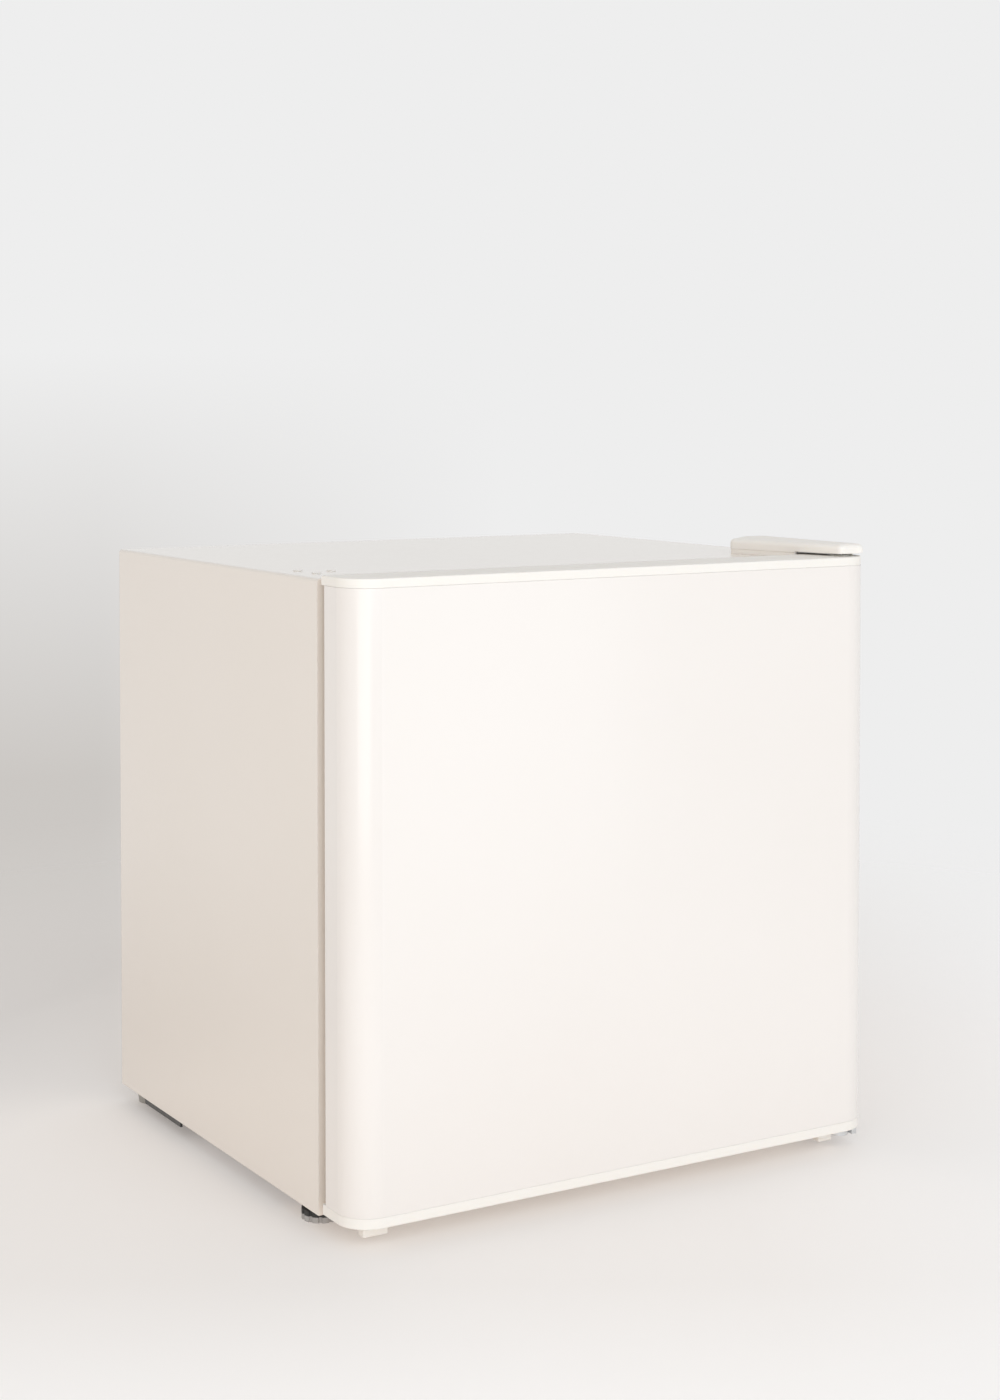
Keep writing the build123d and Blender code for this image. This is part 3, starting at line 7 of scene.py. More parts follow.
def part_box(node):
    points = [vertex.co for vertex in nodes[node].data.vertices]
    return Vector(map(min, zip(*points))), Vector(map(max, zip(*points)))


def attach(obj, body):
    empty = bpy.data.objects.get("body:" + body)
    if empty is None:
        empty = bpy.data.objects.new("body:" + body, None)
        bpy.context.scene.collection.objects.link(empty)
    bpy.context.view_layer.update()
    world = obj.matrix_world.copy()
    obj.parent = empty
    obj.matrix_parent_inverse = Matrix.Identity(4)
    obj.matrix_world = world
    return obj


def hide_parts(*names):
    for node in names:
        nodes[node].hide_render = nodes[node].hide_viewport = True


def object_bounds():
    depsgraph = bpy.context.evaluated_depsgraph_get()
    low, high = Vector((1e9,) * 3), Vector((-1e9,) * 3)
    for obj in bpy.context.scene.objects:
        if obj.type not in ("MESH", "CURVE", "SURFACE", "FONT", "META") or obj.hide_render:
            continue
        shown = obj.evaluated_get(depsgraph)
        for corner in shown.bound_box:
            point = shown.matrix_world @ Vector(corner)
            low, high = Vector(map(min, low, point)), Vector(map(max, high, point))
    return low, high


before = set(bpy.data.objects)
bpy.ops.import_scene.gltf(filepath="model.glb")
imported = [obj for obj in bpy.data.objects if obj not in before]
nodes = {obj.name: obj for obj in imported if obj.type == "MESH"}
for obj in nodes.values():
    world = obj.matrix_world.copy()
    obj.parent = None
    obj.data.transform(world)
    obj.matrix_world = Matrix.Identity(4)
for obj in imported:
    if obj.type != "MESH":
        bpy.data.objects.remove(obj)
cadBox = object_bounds()
mm = 0.001
print("frame loaded:", len(nodes), "CAD nodes")


# shader pieces that every finish shares
def startFinish(name):
    finish = bpy.data.materials.new(name)
    finish.use_nodes = True
    return finish, finish.node_tree, finish.node_tree.nodes["Principled BSDF"]


def objectPoint(tree, stretch=(1, 1, 1)):
    coords = tree.nodes.new("ShaderNodeTexCoord")
    mapping = tree.nodes.new("ShaderNodeMapping")
    mapping.inputs["Scale"].default_value = stretch
    tree.links.new(coords.outputs["Object"], mapping.inputs["Vector"])
    return mapping.outputs["Vector"]


def grain(tree, scale, detail=3.0, stretch=(1, 1, 1)):
    noise = tree.nodes.new("ShaderNodeTexNoise")
    noise.inputs["Scale"].default_value = scale
    noise.inputs["Detail"].default_value = detail
    tree.links.new(objectPoint(tree, stretch), noise.inputs["Vector"])
    return noise.outputs["Fac"]


def spread(tree, factor, low, high, start=0.3, end=0.7):  # a value that follows the factor
    node = tree.nodes.new("ShaderNodeMapRange")
    node.inputs["From Min"].default_value = start
    node.inputs["From Max"].default_value = end
    node.inputs["To Min"].default_value = low
    node.inputs["To Max"].default_value = high
    tree.links.new(factor, node.inputs["Value"])
    return node.outputs["Result"]


def tint(tree, factor, first, second, start=0.3, end=0.7):  # a colour that follows the factor
    node = tree.nodes.new("ShaderNodeValToRGB")
    node.color_ramp.elements[0].position = start
    node.color_ramp.elements[1].position = end
    node.color_ramp.elements[0].color = (*first, 1)
    node.color_ramp.elements[1].color = (*second, 1)
    tree.links.new(factor, node.inputs["Fac"])
    return node.outputs["Color"]


def layOver(tree, factor, under, over):  # a colour over another one, or over a socket, where the factor is 1
    node = tree.nodes.new("ShaderNodeMix")
    node.data_type = "RGBA"
    tree.links.new(factor, node.inputs[0])
    if isinstance(under, tuple):
        node.inputs[6].default_value = (*under, 1)  # the node's colours are 6 and 7, and their mix is 2
    else:
        tree.links.new(under, node.inputs[6])
    node.inputs[7].default_value = (*over, 1)
    return node.outputs[2]


def times(tree, first, second):
    node = tree.nodes.new("ShaderNodeMath")
    node.operation = "MULTIPLY"
    tree.links.new(first, node.inputs[0])
    tree.links.new(second, node.inputs[1])
    return node.outputs["Value"]


# edges: how far the rounded normal leans where rubbing is full and where it ends, and the scale of its flecks
wornEdge = {
    "samples": 4,
    "lean": (0.93, 0.997),
    "enamelFleck": 220.0,
    "fleckEnds": (0.42, 0.62),
    "plasticFleck": 160.0,
}
glossGrain = {"enamel": 0.3, "moulding": 0.2}  # the gloss varies at this share of the bump's scale
plasticBleed = (0.004, 0.003, 0.002)  # how far red, green and blue light travel in plastic, in metres


def softEdge(tree, radius):  # the rounded normal of a sharp edge
    node = tree.nodes.new("ShaderNodeBevel")
    node.samples = wornEdge["samples"]
    node.inputs["Radius"].default_value = radius
    return node.outputs["Normal"]


def edgeRub(tree, radius):  # 1 along edges, 0 on the flats
    geometry = tree.nodes.new("ShaderNodeNewGeometry")
    dot = tree.nodes.new("ShaderNodeVectorMath")
    dot.operation = "DOT_PRODUCT"
    tree.links.new(softEdge(tree, radius), dot.inputs[0])
    tree.links.new(geometry.outputs["Normal"], dot.inputs[1])
    return spread(tree, dot.outputs["Value"], 1.0, 0.0, *wornEdge["lean"])


def cloudy(tree, look, detail=3.0):  # the two shades of a finish in soft clouds
    return tint(tree, grain(tree, look["cloud"], detail), look["shade"], look["colour"])


def setColour(tree, shader, colour):
    tree.links.new(colour, shader.inputs["Base Color"])


def setRoughness(tree, shader, factor, ends, start=0.3, end=0.7):
    tree.links.new(spread(tree, factor, *ends, start, end), shader.inputs["Roughness"])


def relief(tree, shader, height, depth, radius):  # bump over the rounded edges
    bump = tree.nodes.new("ShaderNodeBump")
    bump.inputs["Strength"].default_value = 1.0
    bump.inputs["Distance"].default_value = depth
    tree.links.new(height, bump.inputs["Height"])
    tree.links.new(softEdge(tree, radius), bump.inputs["Normal"])
    tree.links.new(bump.outputs["Normal"], shader.inputs["Normal"])


def enamelFinish(name, look):
    finish, tree, shader = startFinish(name)
    flecks = spread(tree, grain(tree, wornEdge["enamelFleck"]), 0.0, 1.0, *wornEdge["fleckEnds"])
    rub = times(tree, edgeRub(tree, look["edge"]), flecks)
    setColour(tree, shader, layOver(tree, rub, cloudy(tree, look, detail=2.0), look["worn"]))
    setRoughness(tree, shader, grain(tree, look["peel"] * glossGrain["enamel"]), look["roughness"])
    relief(tree, shader, grain(tree, look["peel"], detail=2.0), look["depth"], look["edge"])
    shader.inputs["Coat Weight"].default_value = look["coat"]
    shader.inputs["Coat Roughness"].default_value = look["coatRoughness"]
    return finish


def mouldedFinish(name, look):
    finish, tree, shader = startFinish(name)
    rub = times(tree, edgeRub(tree, look["edge"]), grain(tree, wornEdge["plasticFleck"]))
    setColour(tree, shader, layOver(tree, rub, cloudy(tree, look, detail=2.0), look["worn"]))
    setRoughness(tree, shader, grain(tree, look["pebble"] * glossGrain["moulding"]), look["roughness"])
    relief(tree, shader, grain(tree, look["pebble"], detail=2.0), look["depth"], look["edge"])
    shader.inputs["IOR"].default_value = look["ior"]
    shader.inputs["Subsurface Weight"].default_value = look["depthLight"]
    shader.inputs["Subsurface Radius"].default_value = plasticBleed
    shader.inputs["Subsurface Scale"].default_value = 1.0
    return finish


def footFinish(name, look):  # black plastic on a grey pad, parted at a height
    finish, tree, shader = startFinish(name)
    height = tree.nodes.new("ShaderNodeSeparateXYZ")
    tree.links.new(objectPoint(tree), height.inputs["Vector"])
    pad = spread(tree, height.outputs["Z"], 1.0, 0.0, look["padTop"], look["padTop"] + look["padBlend"])
    setColour(tree, shader, layOver(tree, pad, cloudy(tree, look, detail=2.0), look["pad"]))
    setRoughness(tree, shader, grain(tree, look["pebble"] * glossGrain["moulding"]), look["roughness"])
    relief(tree, shader, grain(tree, look["pebble"], detail=2.0), look["depth"], look["edge"])
    return finish


def platedFinish(name, look):
    finish, tree, shader = startFinish(name)
    streaks = grain(tree, look["brush"], 4.0, look["along"])
    setColour(tree, shader, layOver(tree, edgeRub(tree, look["edge"]), cloudy(tree, look), look["worn"]))
    setRoughness(tree, shader, streaks, look["roughness"])
    relief(tree, shader, streaks, look["depth"], look["edge"])
    shader.inputs["Metallic"].default_value = 1.0
    return finish


def spangleFinish(name, look):  # each zinc crystal with its own shade and gloss
    finish, tree, shader = startFinish(name)
    crystals = tree.nodes.new("ShaderNodeTexVoronoi")
    crystals.inputs["Scale"].default_value = look["crystal"]
    tree.links.new(objectPoint(tree), crystals.inputs["Vector"])
    shade = tree.nodes.new("ShaderNodeSeparateColor")
    tree.links.new(crystals.outputs["Color"], shade.inputs["Color"])
    setColour(tree, shader, tint(tree, shade.outputs["Red"], look["shade"], look["colour"], 0.0, 1.0))
    setRoughness(tree, shader, shade.outputs["Green"], look["roughness"], 0.0, 1.0)
    relief(tree, shader, grain(tree, look["speck"]), look["depth"], look["edge"])
    shader.inputs["Metallic"].default_value = 1.0
    return finish


def foamFinish(name, look):
    finish, tree, shader = startFinish(name)
    cells = tree.nodes.new("ShaderNodeTexVoronoi")
    cells.inputs["Scale"].default_value = look["cell"]
    tree.links.new(objectPoint(tree), cells.inputs["Vector"])
    setColour(tree, shader, cloudy(tree, look))
    setRoughness(tree, shader, grain(tree, look["cell"]), look["roughness"])
    relief(tree, shader, cells.outputs["Distance"], look["depth"], look["edge"])
    return finish


def clearFinish(name, look):
    finish, tree, shader = startFinish(name)
    setColour(tree, shader, layOver(tree, edgeRub(tree, look["edge"]), cloudy(tree, look), look["worn"]))
    setRoughness(tree, shader, grain(tree, look["scuff"], detail=5.0), look["roughness"])
    relief(tree, shader, grain(tree, look["wave"], detail=1.0), look["depth"], look["edge"])
    shader.inputs["Transmission Weight"].default_value = look["clear"]
    shader.inputs["IOR"].default_value = look["ior"]
    return finish


def copperFinish(name, look):  # bare copper with brown tarnish in patches
    finish, tree, shader = startFinish(name)
    patches = spread(tree, grain(tree, look["patch"], detail=5.0), 0.0, 1.0, *look["patchEnds"])
    setColour(tree, shader, layOver(tree, patches, cloudy(tree, look), look["worn"]))
    setRoughness(tree, shader, grain(tree, look["smear"]), look["roughness"])
    relief(tree, shader, grain(tree, look["drawn"]), look["depth"], look["edge"])
    shader.inputs["Metallic"].default_value = 1.0
    return finish


# what each of the record's slots is made of, and a lighter copy of the caps' plastic for the hinge cover,
# which has no slot of its own; that copy is painted light
enamels = {
    "cabinet_paint": {
        "colour": (0.82, 0.74, 0.665), "shade": (0.81, 0.73, 0.652), "worn": (0.85, 0.79, 0.725),
        "cloud": 5.0, "peel": 420.0, "depth": 0.00002, "roughness": (0.30, 0.36),
        "coat": 1.0, "coatRoughness": 0.16, "edge": 0.0008,
    },
    # painted highlight: a lighter copy of the cabinet's cream paint, for the brighter light on the door front
    "door_paint": {
        "colour": (0.846, 0.787, 0.737), "shade": (0.838, 0.778, 0.726), "worn": (0.87, 0.83, 0.79),
        "cloud": 5.0, "peel": 420.0, "depth": 0.00002, "roughness": (0.28, 0.34),
        "coat": 1.0, "coatRoughness": 0.13, "edge": 0.0006,
    },
    "panel_paint": {
        "colour": (0.70, 0.69, 0.66), "shade": (0.66, 0.65, 0.62), "worn": (0.55, 0.55, 0.55),
        "cloud": 9.0, "peel": 600.0, "depth": 0.00003, "roughness": (0.45, 0.55),
        "coat": 0.1, "coatRoughness": 0.3, "edge": 0.0008,
    },
    "shelf_coat": {
        "colour": (0.80, 0.80, 0.78), "shade": (0.77, 0.77, 0.745), "worn": (0.84, 0.84, 0.83),
        "cloud": 14.0, "peel": 500.0, "depth": 0.00003, "roughness": (0.28, 0.36),
        "coat": 0.4, "coatRoughness": 0.12, "edge": 0.0005,
    },
    "black_enamel": {
        "colour": (0.018, 0.018, 0.018), "shade": (0.028, 0.027, 0.026), "worn": (0.09, 0.09, 0.09),
        "cloud": 16.0, "peel": 380.0, "depth": 0.00004, "roughness": (0.32, 0.48),
        "coat": 0.3, "coatRoughness": 0.2, "edge": 0.0007,
    },
}
mouldings = {
    "liner_plastic": {
        "colour": (0.87, 0.868, 0.845), "shade": (0.86, 0.857, 0.832), "worn": (0.88, 0.88, 0.86),
        "cloud": 6.0, "pebble": 500.0, "depth": 0.00001, "roughness": (0.24, 0.27), "ior": 1.5,
        "depthLight": 0.0, "edge": 0.0004,
    },
    "cap_plastic": {
        "colour": (0.88, 0.832, 0.77), "shade": (0.872, 0.822, 0.757), "worn": (0.895, 0.85, 0.80),
        "cloud": 12.0, "pebble": 900.0, "depth": 0.00002, "roughness": (0.34, 0.42), "ior": 1.48,
        "depthLight": 0.04, "edge": 0.0007,
    },
    # painted light: the caps' plastic made lighter for the hinge cover, to brighten its shaded side
    "cover_plastic_painted_lighter": {
        "colour": (0.915, 0.86, 0.795), "shade": (0.907, 0.851, 0.784), "worn": (0.93, 0.88, 0.82),
        "cloud": 12.0, "pebble": 900.0, "depth": 0.00002, "roughness": (0.34, 0.42), "ior": 1.48,
        "depthLight": 0.04, "edge": 0.0007,
    },
    "nylon": {
        "colour": (0.74, 0.72, 0.64), "shade": (0.70, 0.68, 0.60), "worn": (0.78, 0.77, 0.71),
        "cloud": 40.0, "pebble": 900.0, "depth": 0.00002, "roughness": (0.40, 0.50), "ior": 1.53,
        "depthLight": 0.1, "edge": 0.0005,
    },
    # painted shade: a brown near the shade in the door gap, darker than the gasket's own pale cream vinyl
    "gasket_vinyl": {
        "colour": (0.52, 0.455, 0.375), "shade": (0.48, 0.415, 0.335), "worn": (0.56, 0.50, 0.42),
        "cloud": 25.0, "pebble": 800.0, "depth": 0.00003, "roughness": (0.50, 0.62), "ior": 1.5,
        "depthLight": 0.05, "edge": 0.0004,
    },
    "white_plastic": {
        "colour": (0.80, 0.80, 0.775), "shade": (0.775, 0.775, 0.745), "worn": (0.84, 0.84, 0.82),
        "cloud": 14.0, "pebble": 700.0, "depth": 0.00002, "roughness": (0.26, 0.36), "ior": 1.5,
        "depthLight": 0.0, "edge": 0.0003,
    },
    "rear_foot_plastic": {
        "colour": (0.42, 0.40, 0.36), "shade": (0.36, 0.34, 0.31), "worn": (0.50, 0.48, 0.45),
        "cloud": 30.0, "pebble": 650.0, "depth": 0.00004, "roughness": (0.45, 0.6), "ior": 1.5,
        "depthLight": 0.02, "edge": 0.0006,
    },
    "black_plastic": {
        "colour": (0.016, 0.016, 0.017), "shade": (0.028, 0.028, 0.028), "worn": (0.08, 0.08, 0.08),
        "cloud": 30.0, "pebble": 600.0, "depth": 0.00006, "roughness": (0.42, 0.58), "ior": 1.5,
        "depthLight": 0.0, "edge": 0.0006,
    },
    "black_rubber": {
        "colour": (0.014, 0.014, 0.014), "shade": (0.026, 0.025, 0.024), "worn": (0.06, 0.06, 0.058),
        "cloud": 40.0, "pebble": 500.0, "depth": 0.00008, "roughness": (0.68, 0.85), "ior": 1.5,
        "depthLight": 0.0, "edge": 0.0006,
    },
}
platings = {
    "zinc": {
        "colour": (0.80, 0.81, 0.815), "shade": (0.68, 0.69, 0.70), "worn": (0.86, 0.86, 0.85), "cloud": 60.0,
        "brush": 240.0, "along": (1, 1, 6), "roughness": (0.24, 0.42), "depth": 0.00002, "edge": 0.0005,
    },
    "switch_steel": {
        "colour": (0.50, 0.50, 0.48), "shade": (0.40, 0.40, 0.39), "worn": (0.66, 0.66, 0.64),
        "cloud": 50.0, "brush": 260.0, "along": (1, 5, 1), "roughness": (0.28, 0.46),
        "depth": 0.00002, "edge": 0.0005,
    },
    "roll_bond": {
        "colour": (0.70, 0.71, 0.72), "shade": (0.60, 0.61, 0.62), "worn": (0.80, 0.80, 0.80),
        "cloud": 22.0, "brush": 160.0, "along": (1, 9, 9), "roughness": (0.30, 0.46),
        "depth": 0.00003, "edge": 0.0006,
    },
}
galvanised = {
    "colour": (0.58, 0.59, 0.60), "shade": (0.42, 0.43, 0.45),
    "crystal": 75.0, "speck": 300.0, "depth": 0.00003, "roughness": (0.30, 0.52), "edge": 0.0006,
}
rigidFoam = {
    "colour": (0.72, 0.58, 0.30), "shade": (0.62, 0.48, 0.22),
    "cloud": 18.0, "cell": 900.0, "depth": 0.0003, "roughness": (0.8, 0.95), "edge": 0.001,
}
clearMoulding = {
    "colour": (0.985, 0.992, 0.993), "shade": (0.978, 0.987, 0.99), "worn": (0.93, 0.96, 0.965),
    "cloud": 10.0, "scuff": 130.0, "wave": 40.0, "depth": 0.00005, "roughness": (0.03, 0.08),
    "clear": 0.95, "ior": 1.45, "edge": 0.0006,
}
footPlastic = {
    "colour": (0.022, 0.022, 0.022), "shade": (0.034, 0.033, 0.032), "pad": (0.42, 0.40, 0.385),
    "padTop": 4.0 * mm, "padBlend": 0.4 * mm,
    "cloud": 30.0, "pebble": 650.0, "depth": 0.00005, "roughness": (0.45, 0.6), "edge": 0.0006,
}
copperTube = {
    "colour": (0.70, 0.36, 0.22), "shade": (0.60, 0.29, 0.17), "worn": (0.26, 0.13, 0.08),
    "cloud": 60.0, "patch": 45.0, "patchEnds": (0.5, 0.72), "smear": 260.0, "drawn": 400.0,
    "depth": 0.00002, "roughness": (0.24, 0.42), "edge": 0.0004,
}

finishes = {}
for slotName, look in enamels.items():
    finishes[slotName] = enamelFinish(slotName + "Enamel", look)
for slotName, look in mouldings.items():
    finishes[slotName] = mouldedFinish(slotName + "Moulding", look)
for slotName, look in platings.items():
    finishes[slotName] = platedFinish(slotName + "Plating", look)
finishes["galvanised"] = spangleFinish("galvanisedSheet", galvanised)
finishes["foam"] = foamFinish("rigidFoam", rigidFoam)
finishes["clear_plastic"] = clearFinish("clearMoulding", clearMoulding)
finishes["copper"] = copperFinish("copperTube", copperTube)
finishes["foot_plastic"] = footFinish("footPlastic", footPlastic)

for node in nodes.values():
    slotName = node.data.materials[0].name.split(".")[0]
    node.data.materials.clear()
    node.data.materials.append(finishes[slotName])
nodes["hinge_cover"].data.materials[0] = finishes["cover_plastic_painted_lighter"]  # painted light: the caps' plastic made lighter, to brighten the cover's shaded side
print("finishes laid on", len(nodes), "nodes:", len(finishes), "finishes")


def placePiece(name, mesh, slotName, body):  # bmesh to an object that rides on a body
    data = bpy.data.meshes.new(name)
    mesh.to_mesh(data)
    mesh.free()
    piece = bpy.data.objects.new(name, data)
    bpy.context.scene.collection.objects.link(piece)
    data.materials.append(finishes[slotName])
    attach(piece, body)
    return piece


# door gasket: magnet bulb against the cabinet, a fold, and a base against the door liner
# its section goes inwards from the ring's outer edge and from door to cabinet, in shares of the CAD ring's
gasket = {
    "section": [
        (0.07, 0.0), (0.07, 0.16), (0.24, 0.29), (0.24, 0.36), (0.03, 0.46), (0.0, 0.54), (0.0, 0.92),
        (0.04, 1.0), (0.80, 1.0), (0.85, 0.93), (0.85, 0.58), (0.80, 0.50), (0.62, 0.40), (0.62, 0.33),
        (0.96, 0.22), (1.0, 0.15), (1.0, 0.0),
    ],
    "ringWidth": 15 * mm,
    "weld": 0.01 * mm,
    "round": 0.35 * mm,
    "roundSteps": 2,
    "roundFrom": radians(25),
}


def buildGasket(look):
    low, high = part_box("door_gasket")
    middle = (low + high) / 2
    half = (high - low) / 2
    mesh = bmesh.new()
    corner = []
    for inward, across in look["section"]:
        reach = half.x - inward * look["ringWidth"]
        place = (middle.x + reach, low.y + across * (high.y - low.y), middle.z + reach)
        corner.append(mesh.verts.new(place))
    loop = [mesh.edges.new((corner[i - 1], corner[i])) for i in range(len(corner))]
    bmesh.ops.spin(mesh, geom=corner + loop, cent=middle, axis=(0, 1, 0), angle=2 * pi, steps=4,
                   use_merge=True)
    bmesh.ops.remove_doubles(mesh, verts=mesh.verts, dist=look["weld"])
    upper = [v for v in mesh.verts if v.co.z > middle.z]
    lower = [v for v in mesh.verts if v.co.z < middle.z]
    bmesh.ops.translate(mesh, verts=upper, vec=(0, 0, half.z - half.x))
    bmesh.ops.translate(mesh, verts=lower, vec=(0, 0, half.x - half.z))
    bmesh.ops.recalc_face_normals(mesh, faces=mesh.faces)
    piece = placePiece("doorGasketRing", mesh, "gasket_vinyl", "door")
    rounding = piece.modifiers.new("rounded", "BEVEL")
    rounding.width = look["round"]
    rounding.segments = look["roundSteps"]
    rounding.limit_method = "ANGLE"
    rounding.angle_limit = look["roundFrom"]
    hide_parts("door_gasket")


buildGasket(gasket)
print("gasket ring built")


# the two stop lugs under the door as the photograph shows them: the left one wider than its solid, with the
# whole of it inside, and a longer toe on the right one; ends across, along and up
lugToes = {
    "left": ((-218.0 * mm, -197.8 * mm), (-206.2 * mm, -197.8 * mm), (5.0 * mm, 17.4 * mm)),
    "right": ((198.0 * mm, 211.5 * mm), (-206.0 * mm, -198.0 * mm), (5.0 * mm, 8.4 * mm)),
    "round": 1.0 * mm,
    "roundSteps": 3,
}


def buildToes(look):
    mesh = bmesh.new()
    for side in ("left", "right"):
        low, high = [Vector(corner) for corner in zip(*look[side])]
        size = Matrix.Diagonal((*(high - low), 1))
        bmesh.ops.create_cube(mesh, size=1, matrix=Matrix.Translation((low + high) / 2) @ size)
    bmesh.ops.bevel(mesh, geom=mesh.edges[:], offset=look["round"], affect="EDGES",
                    segments=look["roundSteps"], profile=0.5, material=-1)
    placePiece("lugToes", mesh, "cap_plastic", "door")


buildToes(lugToes)
print("lug toes added")


# thermostat dial: figures round the knob, and a mark at the top of its grip
dial = {
    "figures": "1234567",
    "height": 4.4 * mm,
    "gap": 3.6 * mm,
    "thick": 0.12 * mm,
    "sweep": (210, -30),
    "mark": (1.2 * mm, 5 * mm),
    "markRound": 0.58 * mm,
    "markSteps": 5,
    "weld": 0.001 * mm,
}


def figureMesh(figure, look):
    curve = bpy.data.curves.new("dialFigure", "FONT")
    curve.body = figure
    curve.size = look["height"]
    curve.extrude = look["thick"] / 2
    curve.align_x = "CENTER"
    curve.align_y = "CENTER"
    holder = bpy.data.objects.new("dialFigure", curve)
    data = bpy.data.meshes.new_from_object(holder)
    bpy.data.objects.remove(holder)
    bpy.data.curves.remove(curve)
    return data


def buildDial(look):
    knobLow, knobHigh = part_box("thermostat_knob")
    middle = (knobLow + knobHigh) / 2
    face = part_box("thermostat_housing")[0].y
    radius = (knobHigh.x - knobLow.x) / 2 + look["gap"]
    first, last = look["sweep"]
    mesh = bmesh.new()
    for n, figure in enumerate(look["figures"]):
        angle = radians(first + (last - first) * n / (len(look["figures"]) - 1))
        place = Vector((middle.x + radius * cos(angle), face, middle.z + radius * sin(angle)))
        data = figureMesh(figure, look)
        data.transform(Matrix.Translation(place) @ Matrix.Rotation(radians(90), 4, "X"))
        mesh.from_mesh(data)
        bpy.data.meshes.remove(data)
    bmesh.ops.remove_doubles(mesh, verts=mesh.verts, dist=look["weld"])
    bmesh.ops.recalc_face_normals(mesh, faces=mesh.faces)
    placePiece("dialFigures", mesh, "black_plastic", "cabinet")
    wide, tall = look["mark"]
    place = Matrix.Translation((middle.x, knobLow.y, knobHigh.z - tall))
    mark = bmesh.new()
    bmesh.ops.create_cube(mark, size=1, matrix=place @ Matrix.Diagonal((wide, look["thick"], tall, 1)))
    ends = [e for e in mark.edges if abs(e.verts[0].co.y - e.verts[1].co.y) > look["thick"] / 2]
    bmesh.ops.bevel(mark, geom=ends, offset=look["markRound"], affect="EDGES", segments=look["markSteps"],
                    profile=0.5, material=-1)
    placePiece("knobMark", mark, "black_plastic", "knob")


buildDial(dial)
print("dial printed")


# painted shade: black crosses on the screw heads that can be seen, standing in for the shade in their cross
# recesses, with the way each row of heads faces
recesses = {
    "screws": {
        "condenser_screws": (0, 1, 0), "compressor_bolts": (0, 0, 1),
        "bottom_hinge_screws": (0, 0, -1), "evaporator_screws": (0, 0, -1),
    },
    "arm": (1.0 * mm, 4.6 * mm),
    "proud": 0.03 * mm,
    "depth": 0.4 * mm,
    "weld": 0.001 * mm,
    "faceDepth": 0.01 * mm,
}


def screwHeads(nodeName, outward, look):  # the middle of each head's outer face
    mesh = bmesh.new()
    mesh.from_mesh(nodes[nodeName].data)
    bmesh.ops.remove_doubles(mesh, verts=mesh.verts, dist=look["weld"])
    waiting = dict.fromkeys(mesh.verts)  # keeps its order, so that every run gives the same mesh
    heads = []
    while waiting:
        screw = [waiting.popitem()[0]]
        for vert in screw:
            near = [edge.other_vert(vert) for edge in vert.link_edges]
            near = [other for other in near if other in waiting]
            for other in near:
                del waiting[other]
            screw.extend(near)
        reach = max(vert.co.dot(outward) for vert in screw)
        face = [vert.co for vert in screw if vert.co.dot(outward) > reach - look["faceDepth"]]
        heads.append(sum(face, Vector()) / len(face))
    mesh.free()
    return heads


def buildRecessShade(look):
    wide, long = look["arm"]
    mesh = bmesh.new()
    for nodeName, way in look["screws"].items():
        outward = Vector(way)
        turn = outward.to_track_quat("Z", "Y").to_matrix().to_4x4()
        for head in screwHeads(nodeName, outward, look):
            middle = head + outward * (look["proud"] - look["depth"] / 2)
            for size in ((wide, long), (long, wide)):
                place = Matrix.Translation(middle) @ turn @ Matrix.Diagonal((*size, look["depth"], 1))
                bmesh.ops.create_cube(mesh, size=1, matrix=place)
    # painted shade: the black plastic finish stands in for the shade inside the recesses
    placePiece("screwRecessShade", mesh, "black_plastic", "cabinet")


buildRecessShade(recesses)
print("screw recesses set")


# studio: pale floor that fades into the backdrop and glows with painted light and shade, soft lights, a
# backdrop with a painted shadow towards the lower left
studio = {
    "floorColour": (0.70, 0.685, 0.665),
    "floorShade": 0.985,
    "floorCloud": 2.0,
    "floorRoughness": 0.7,
    "floorGloss": 0.2,
    # painted light: the floor glows, though it is no lamp, to lighten the shadows on it
    "floorGlow": (0.25, 0.225, 0.21),
    "floorPaintedLightAndShade": [  # painted shade behind the fridge, painted light towards the camera and on the fridge's right
        {"way": (-0.6, 0.8, 0), "ends": (0.34, 0.56), "colour": (0.14, 0.12, 0.11)},
        {"way": (-0.516, -0.857, 0), "ends": (0.36, 0.66), "colour": (0.37, 0.355, 0.35)},
        {"way": (0.857, -0.516, 0), "ends": (0.2, 0.6), "colour": (0.325, 0.32, 0.325)},
    ],
    "floorRadius": 3.0,
    "floorSides": 96,
    "fade": (0.55, 1.5),
    "fill": ((0.845, 0.842, 0.835), (0.60, 0.60, 0.60)),
    "fillHeights": (0.1, 0.9),
    "backdrop": (0.855, 0.855, 0.855),
    # painted shadow on the backdrop towards the lower left
    "backdropPaintedShadow": (0.60, 0.575, 0.55),
    "dimSide": (-0.857, 0.516, 0),
    "dimAcross": ((0.0, 0.17), (0.75, 0.35)),
    "dimDown": ((0.02, -0.16), (-0.34, -0.24)),
    "key": {"at": (-0.1, -3.3, 1.6), "size": (2.6, 3.2), "power": 29.8, "colour": (0.649, 0.814, 1.0)},
    "window": {"at": (-1.75, -2.35, 0.9), "size": (2.3, 2.4), "power": 21.0, "colour": (1.0, 0.985, 0.96)},
    "panel": {"at": (1.55, -3.2, 0.35), "size": (0.8, 2.2), "power": 3.4, "colour": (0.85, 0.95, 1.0)},
    "rim": {"at": (2.4, 1.6, 2.6), "size": (2.0, 2.0), "power": 3.0, "colour": (1.0, 1.0, 1.0)},
}


def alongFloor(tree, way):  # how far a point of the floor lies that way
    node = tree.nodes.new("ShaderNodeVectorMath")
    node.operation = "DOT_PRODUCT"
    node.inputs[1].default_value = way
    tree.links.new(objectPoint(tree), node.inputs[0])
    return node.outputs["Value"]


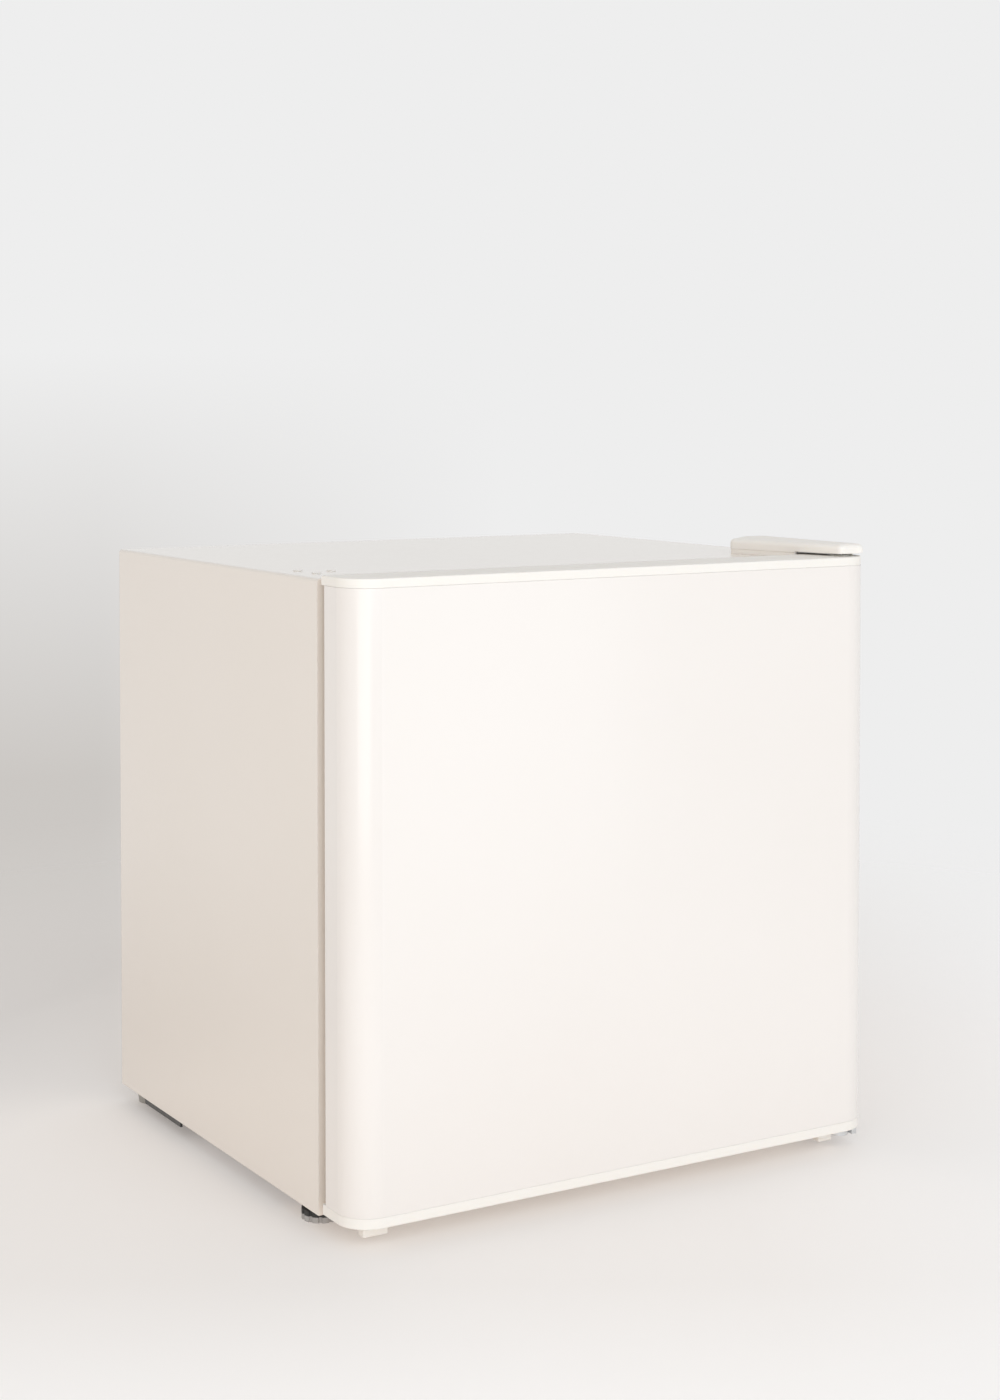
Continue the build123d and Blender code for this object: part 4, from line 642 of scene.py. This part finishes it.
def buildFloor(look):
    mesh = bmesh.new()
    bmesh.ops.create_circle(mesh, cap_ends=True, segments=look["floorSides"], radius=look["floorRadius"])
    data = bpy.data.meshes.new("paleFloor")
    mesh.to_mesh(data)
    mesh.free()
    floor = bpy.data.objects.new("paleFloor", data)
    bpy.context.scene.collection.objects.link(floor)
    finish, tree, shader = startFinish("paleFloorFinish")
    shade = tuple(look["floorShade"] * c for c in look["floorColour"])
    setColour(tree, shader, tint(tree, grain(tree, look["floorCloud"]), shade, look["floorColour"]))
    # painted light and shade: the floor's glow, lighter towards the camera and on the fridge's right, darker
    # behind it
    glow = look["floorGlow"]
    for place in look["floorPaintedLightAndShade"]:
        reach = spread(tree, alongFloor(tree, place["way"]), 0.0, 1.0, *place["ends"])
        glow = layOver(tree, reach, glow, place["colour"])
    tree.links.new(glow, shader.inputs["Emission Color"])
    shader.inputs["Emission Strength"].default_value = 1.0
    shader.inputs["Roughness"].default_value = look["floorRoughness"]
    shader.inputs["Specular IOR Level"].default_value = look["floorGloss"]
    distance = tree.nodes.new("ShaderNodeVectorMath")
    distance.operation = "LENGTH"
    tree.links.new(objectPoint(tree), distance.inputs[0])
    fade = spread(tree, distance.outputs["Value"], 1.0, 0.0, *look["fade"])
    tree.links.new(fade, shader.inputs["Alpha"])
    data.materials.append(finish)


def hangBackdrop(look):  # what the camera sees behind the floor, with a painted shadow towards the lower left, and for other rays a fill that fades upwards
    world = bpy.data.worlds.new("backdrop")
    world.use_nodes = True
    tree = world.node_tree
    fill = tree.nodes["Background"]
    coords = tree.nodes.new("ShaderNodeTexCoord")
    side = tree.nodes.new("ShaderNodeVectorMath")
    side.operation = "DOT_PRODUCT"
    side.inputs[1].default_value = look["dimSide"]
    tree.links.new(coords.outputs["Generated"], side.inputs[0])
    height = tree.nodes.new("ShaderNodeSeparateXYZ")
    tree.links.new(coords.outputs["Generated"], height.inputs["Vector"])
    fillShade = tint(tree, height.outputs["Z"], *look["fill"], *look["fillHeights"])
    tree.links.new(fillShade, fill.inputs["Color"])
    acrossEnds = [spread(tree, side.outputs["Value"], 0.0, 1.0, *ends) for ends in look["dimAcross"]]
    downEnds = [spread(tree, height.outputs["Z"], 0.0, 1.0, *ends) for ends in look["dimDown"]]
    # where the backdrop's painted shadow lies
    dim = times(tree, times(tree, *acrossEnds), times(tree, *downEnds))
    seen = tree.nodes.new("ShaderNodeBackground")
    shade = tint(tree, dim, look["backdrop"], look["backdropPaintedShadow"], 0.0, 1.0)
    tree.links.new(shade, seen.inputs["Color"])
    path = tree.nodes.new("ShaderNodeLightPath")
    choose = tree.nodes.new("ShaderNodeMixShader")
    tree.links.new(path.outputs["Is Camera Ray"], choose.inputs["Fac"])
    tree.links.new(fill.outputs["Background"], choose.inputs[1])
    tree.links.new(seen.outputs["Background"], choose.inputs[2])
    tree.links.new(choose.outputs["Shader"], tree.nodes["World Output"].inputs["Surface"])
    bpy.context.scene.world = world


def addSoftbox(name, look, target):
    light = bpy.data.lights.new(name, "AREA")
    light.shape = "RECTANGLE"
    light.size, light.size_y = look["size"]
    light.energy = look["power"]
    light.color = look["colour"]
    lamp = bpy.data.objects.new(name, light)
    bpy.context.scene.collection.objects.link(lamp)
    lamp.location = look["at"]
    lamp.rotation_euler = (target - lamp.location).to_track_quat("-Z", "Y").to_euler()


buildFloor(studio)
fridgeMiddle = (cadBox[0] + cadBox[1]) / 2
for part in ("key", "window", "panel", "rim"):
    addSoftbox(part + "Softbox", studio[part], fridgeMiddle)
hangBackdrop(studio)
bpy.context.scene.view_settings.view_transform = "Standard"
print("studio lit")


# camera solved from the cabinet's edges in the photograph, an image of 1000 x 1400
camera = {
    "at": (-0.9788, -1.6596, 0.6075),
    "yaw": -31.056,
    "down": 1.845,
    "lens": 59.34,
    "sensor": 36,
    "shiftY": -0.162,
}
lens = bpy.data.cameras.new("photoLens")
lens.lens = camera["lens"]
lens.sensor_width = camera["sensor"]
lens.shift_y = camera["shiftY"]
viewer = bpy.data.objects.new("photoCamera", lens)
viewer.location = camera["at"]
viewer.rotation_euler = (radians(90 - camera["down"]), 0, radians(camera["yaw"]))
bpy.context.scene.collection.objects.link(viewer)
bpy.context.scene.camera = viewer
print("camera set")
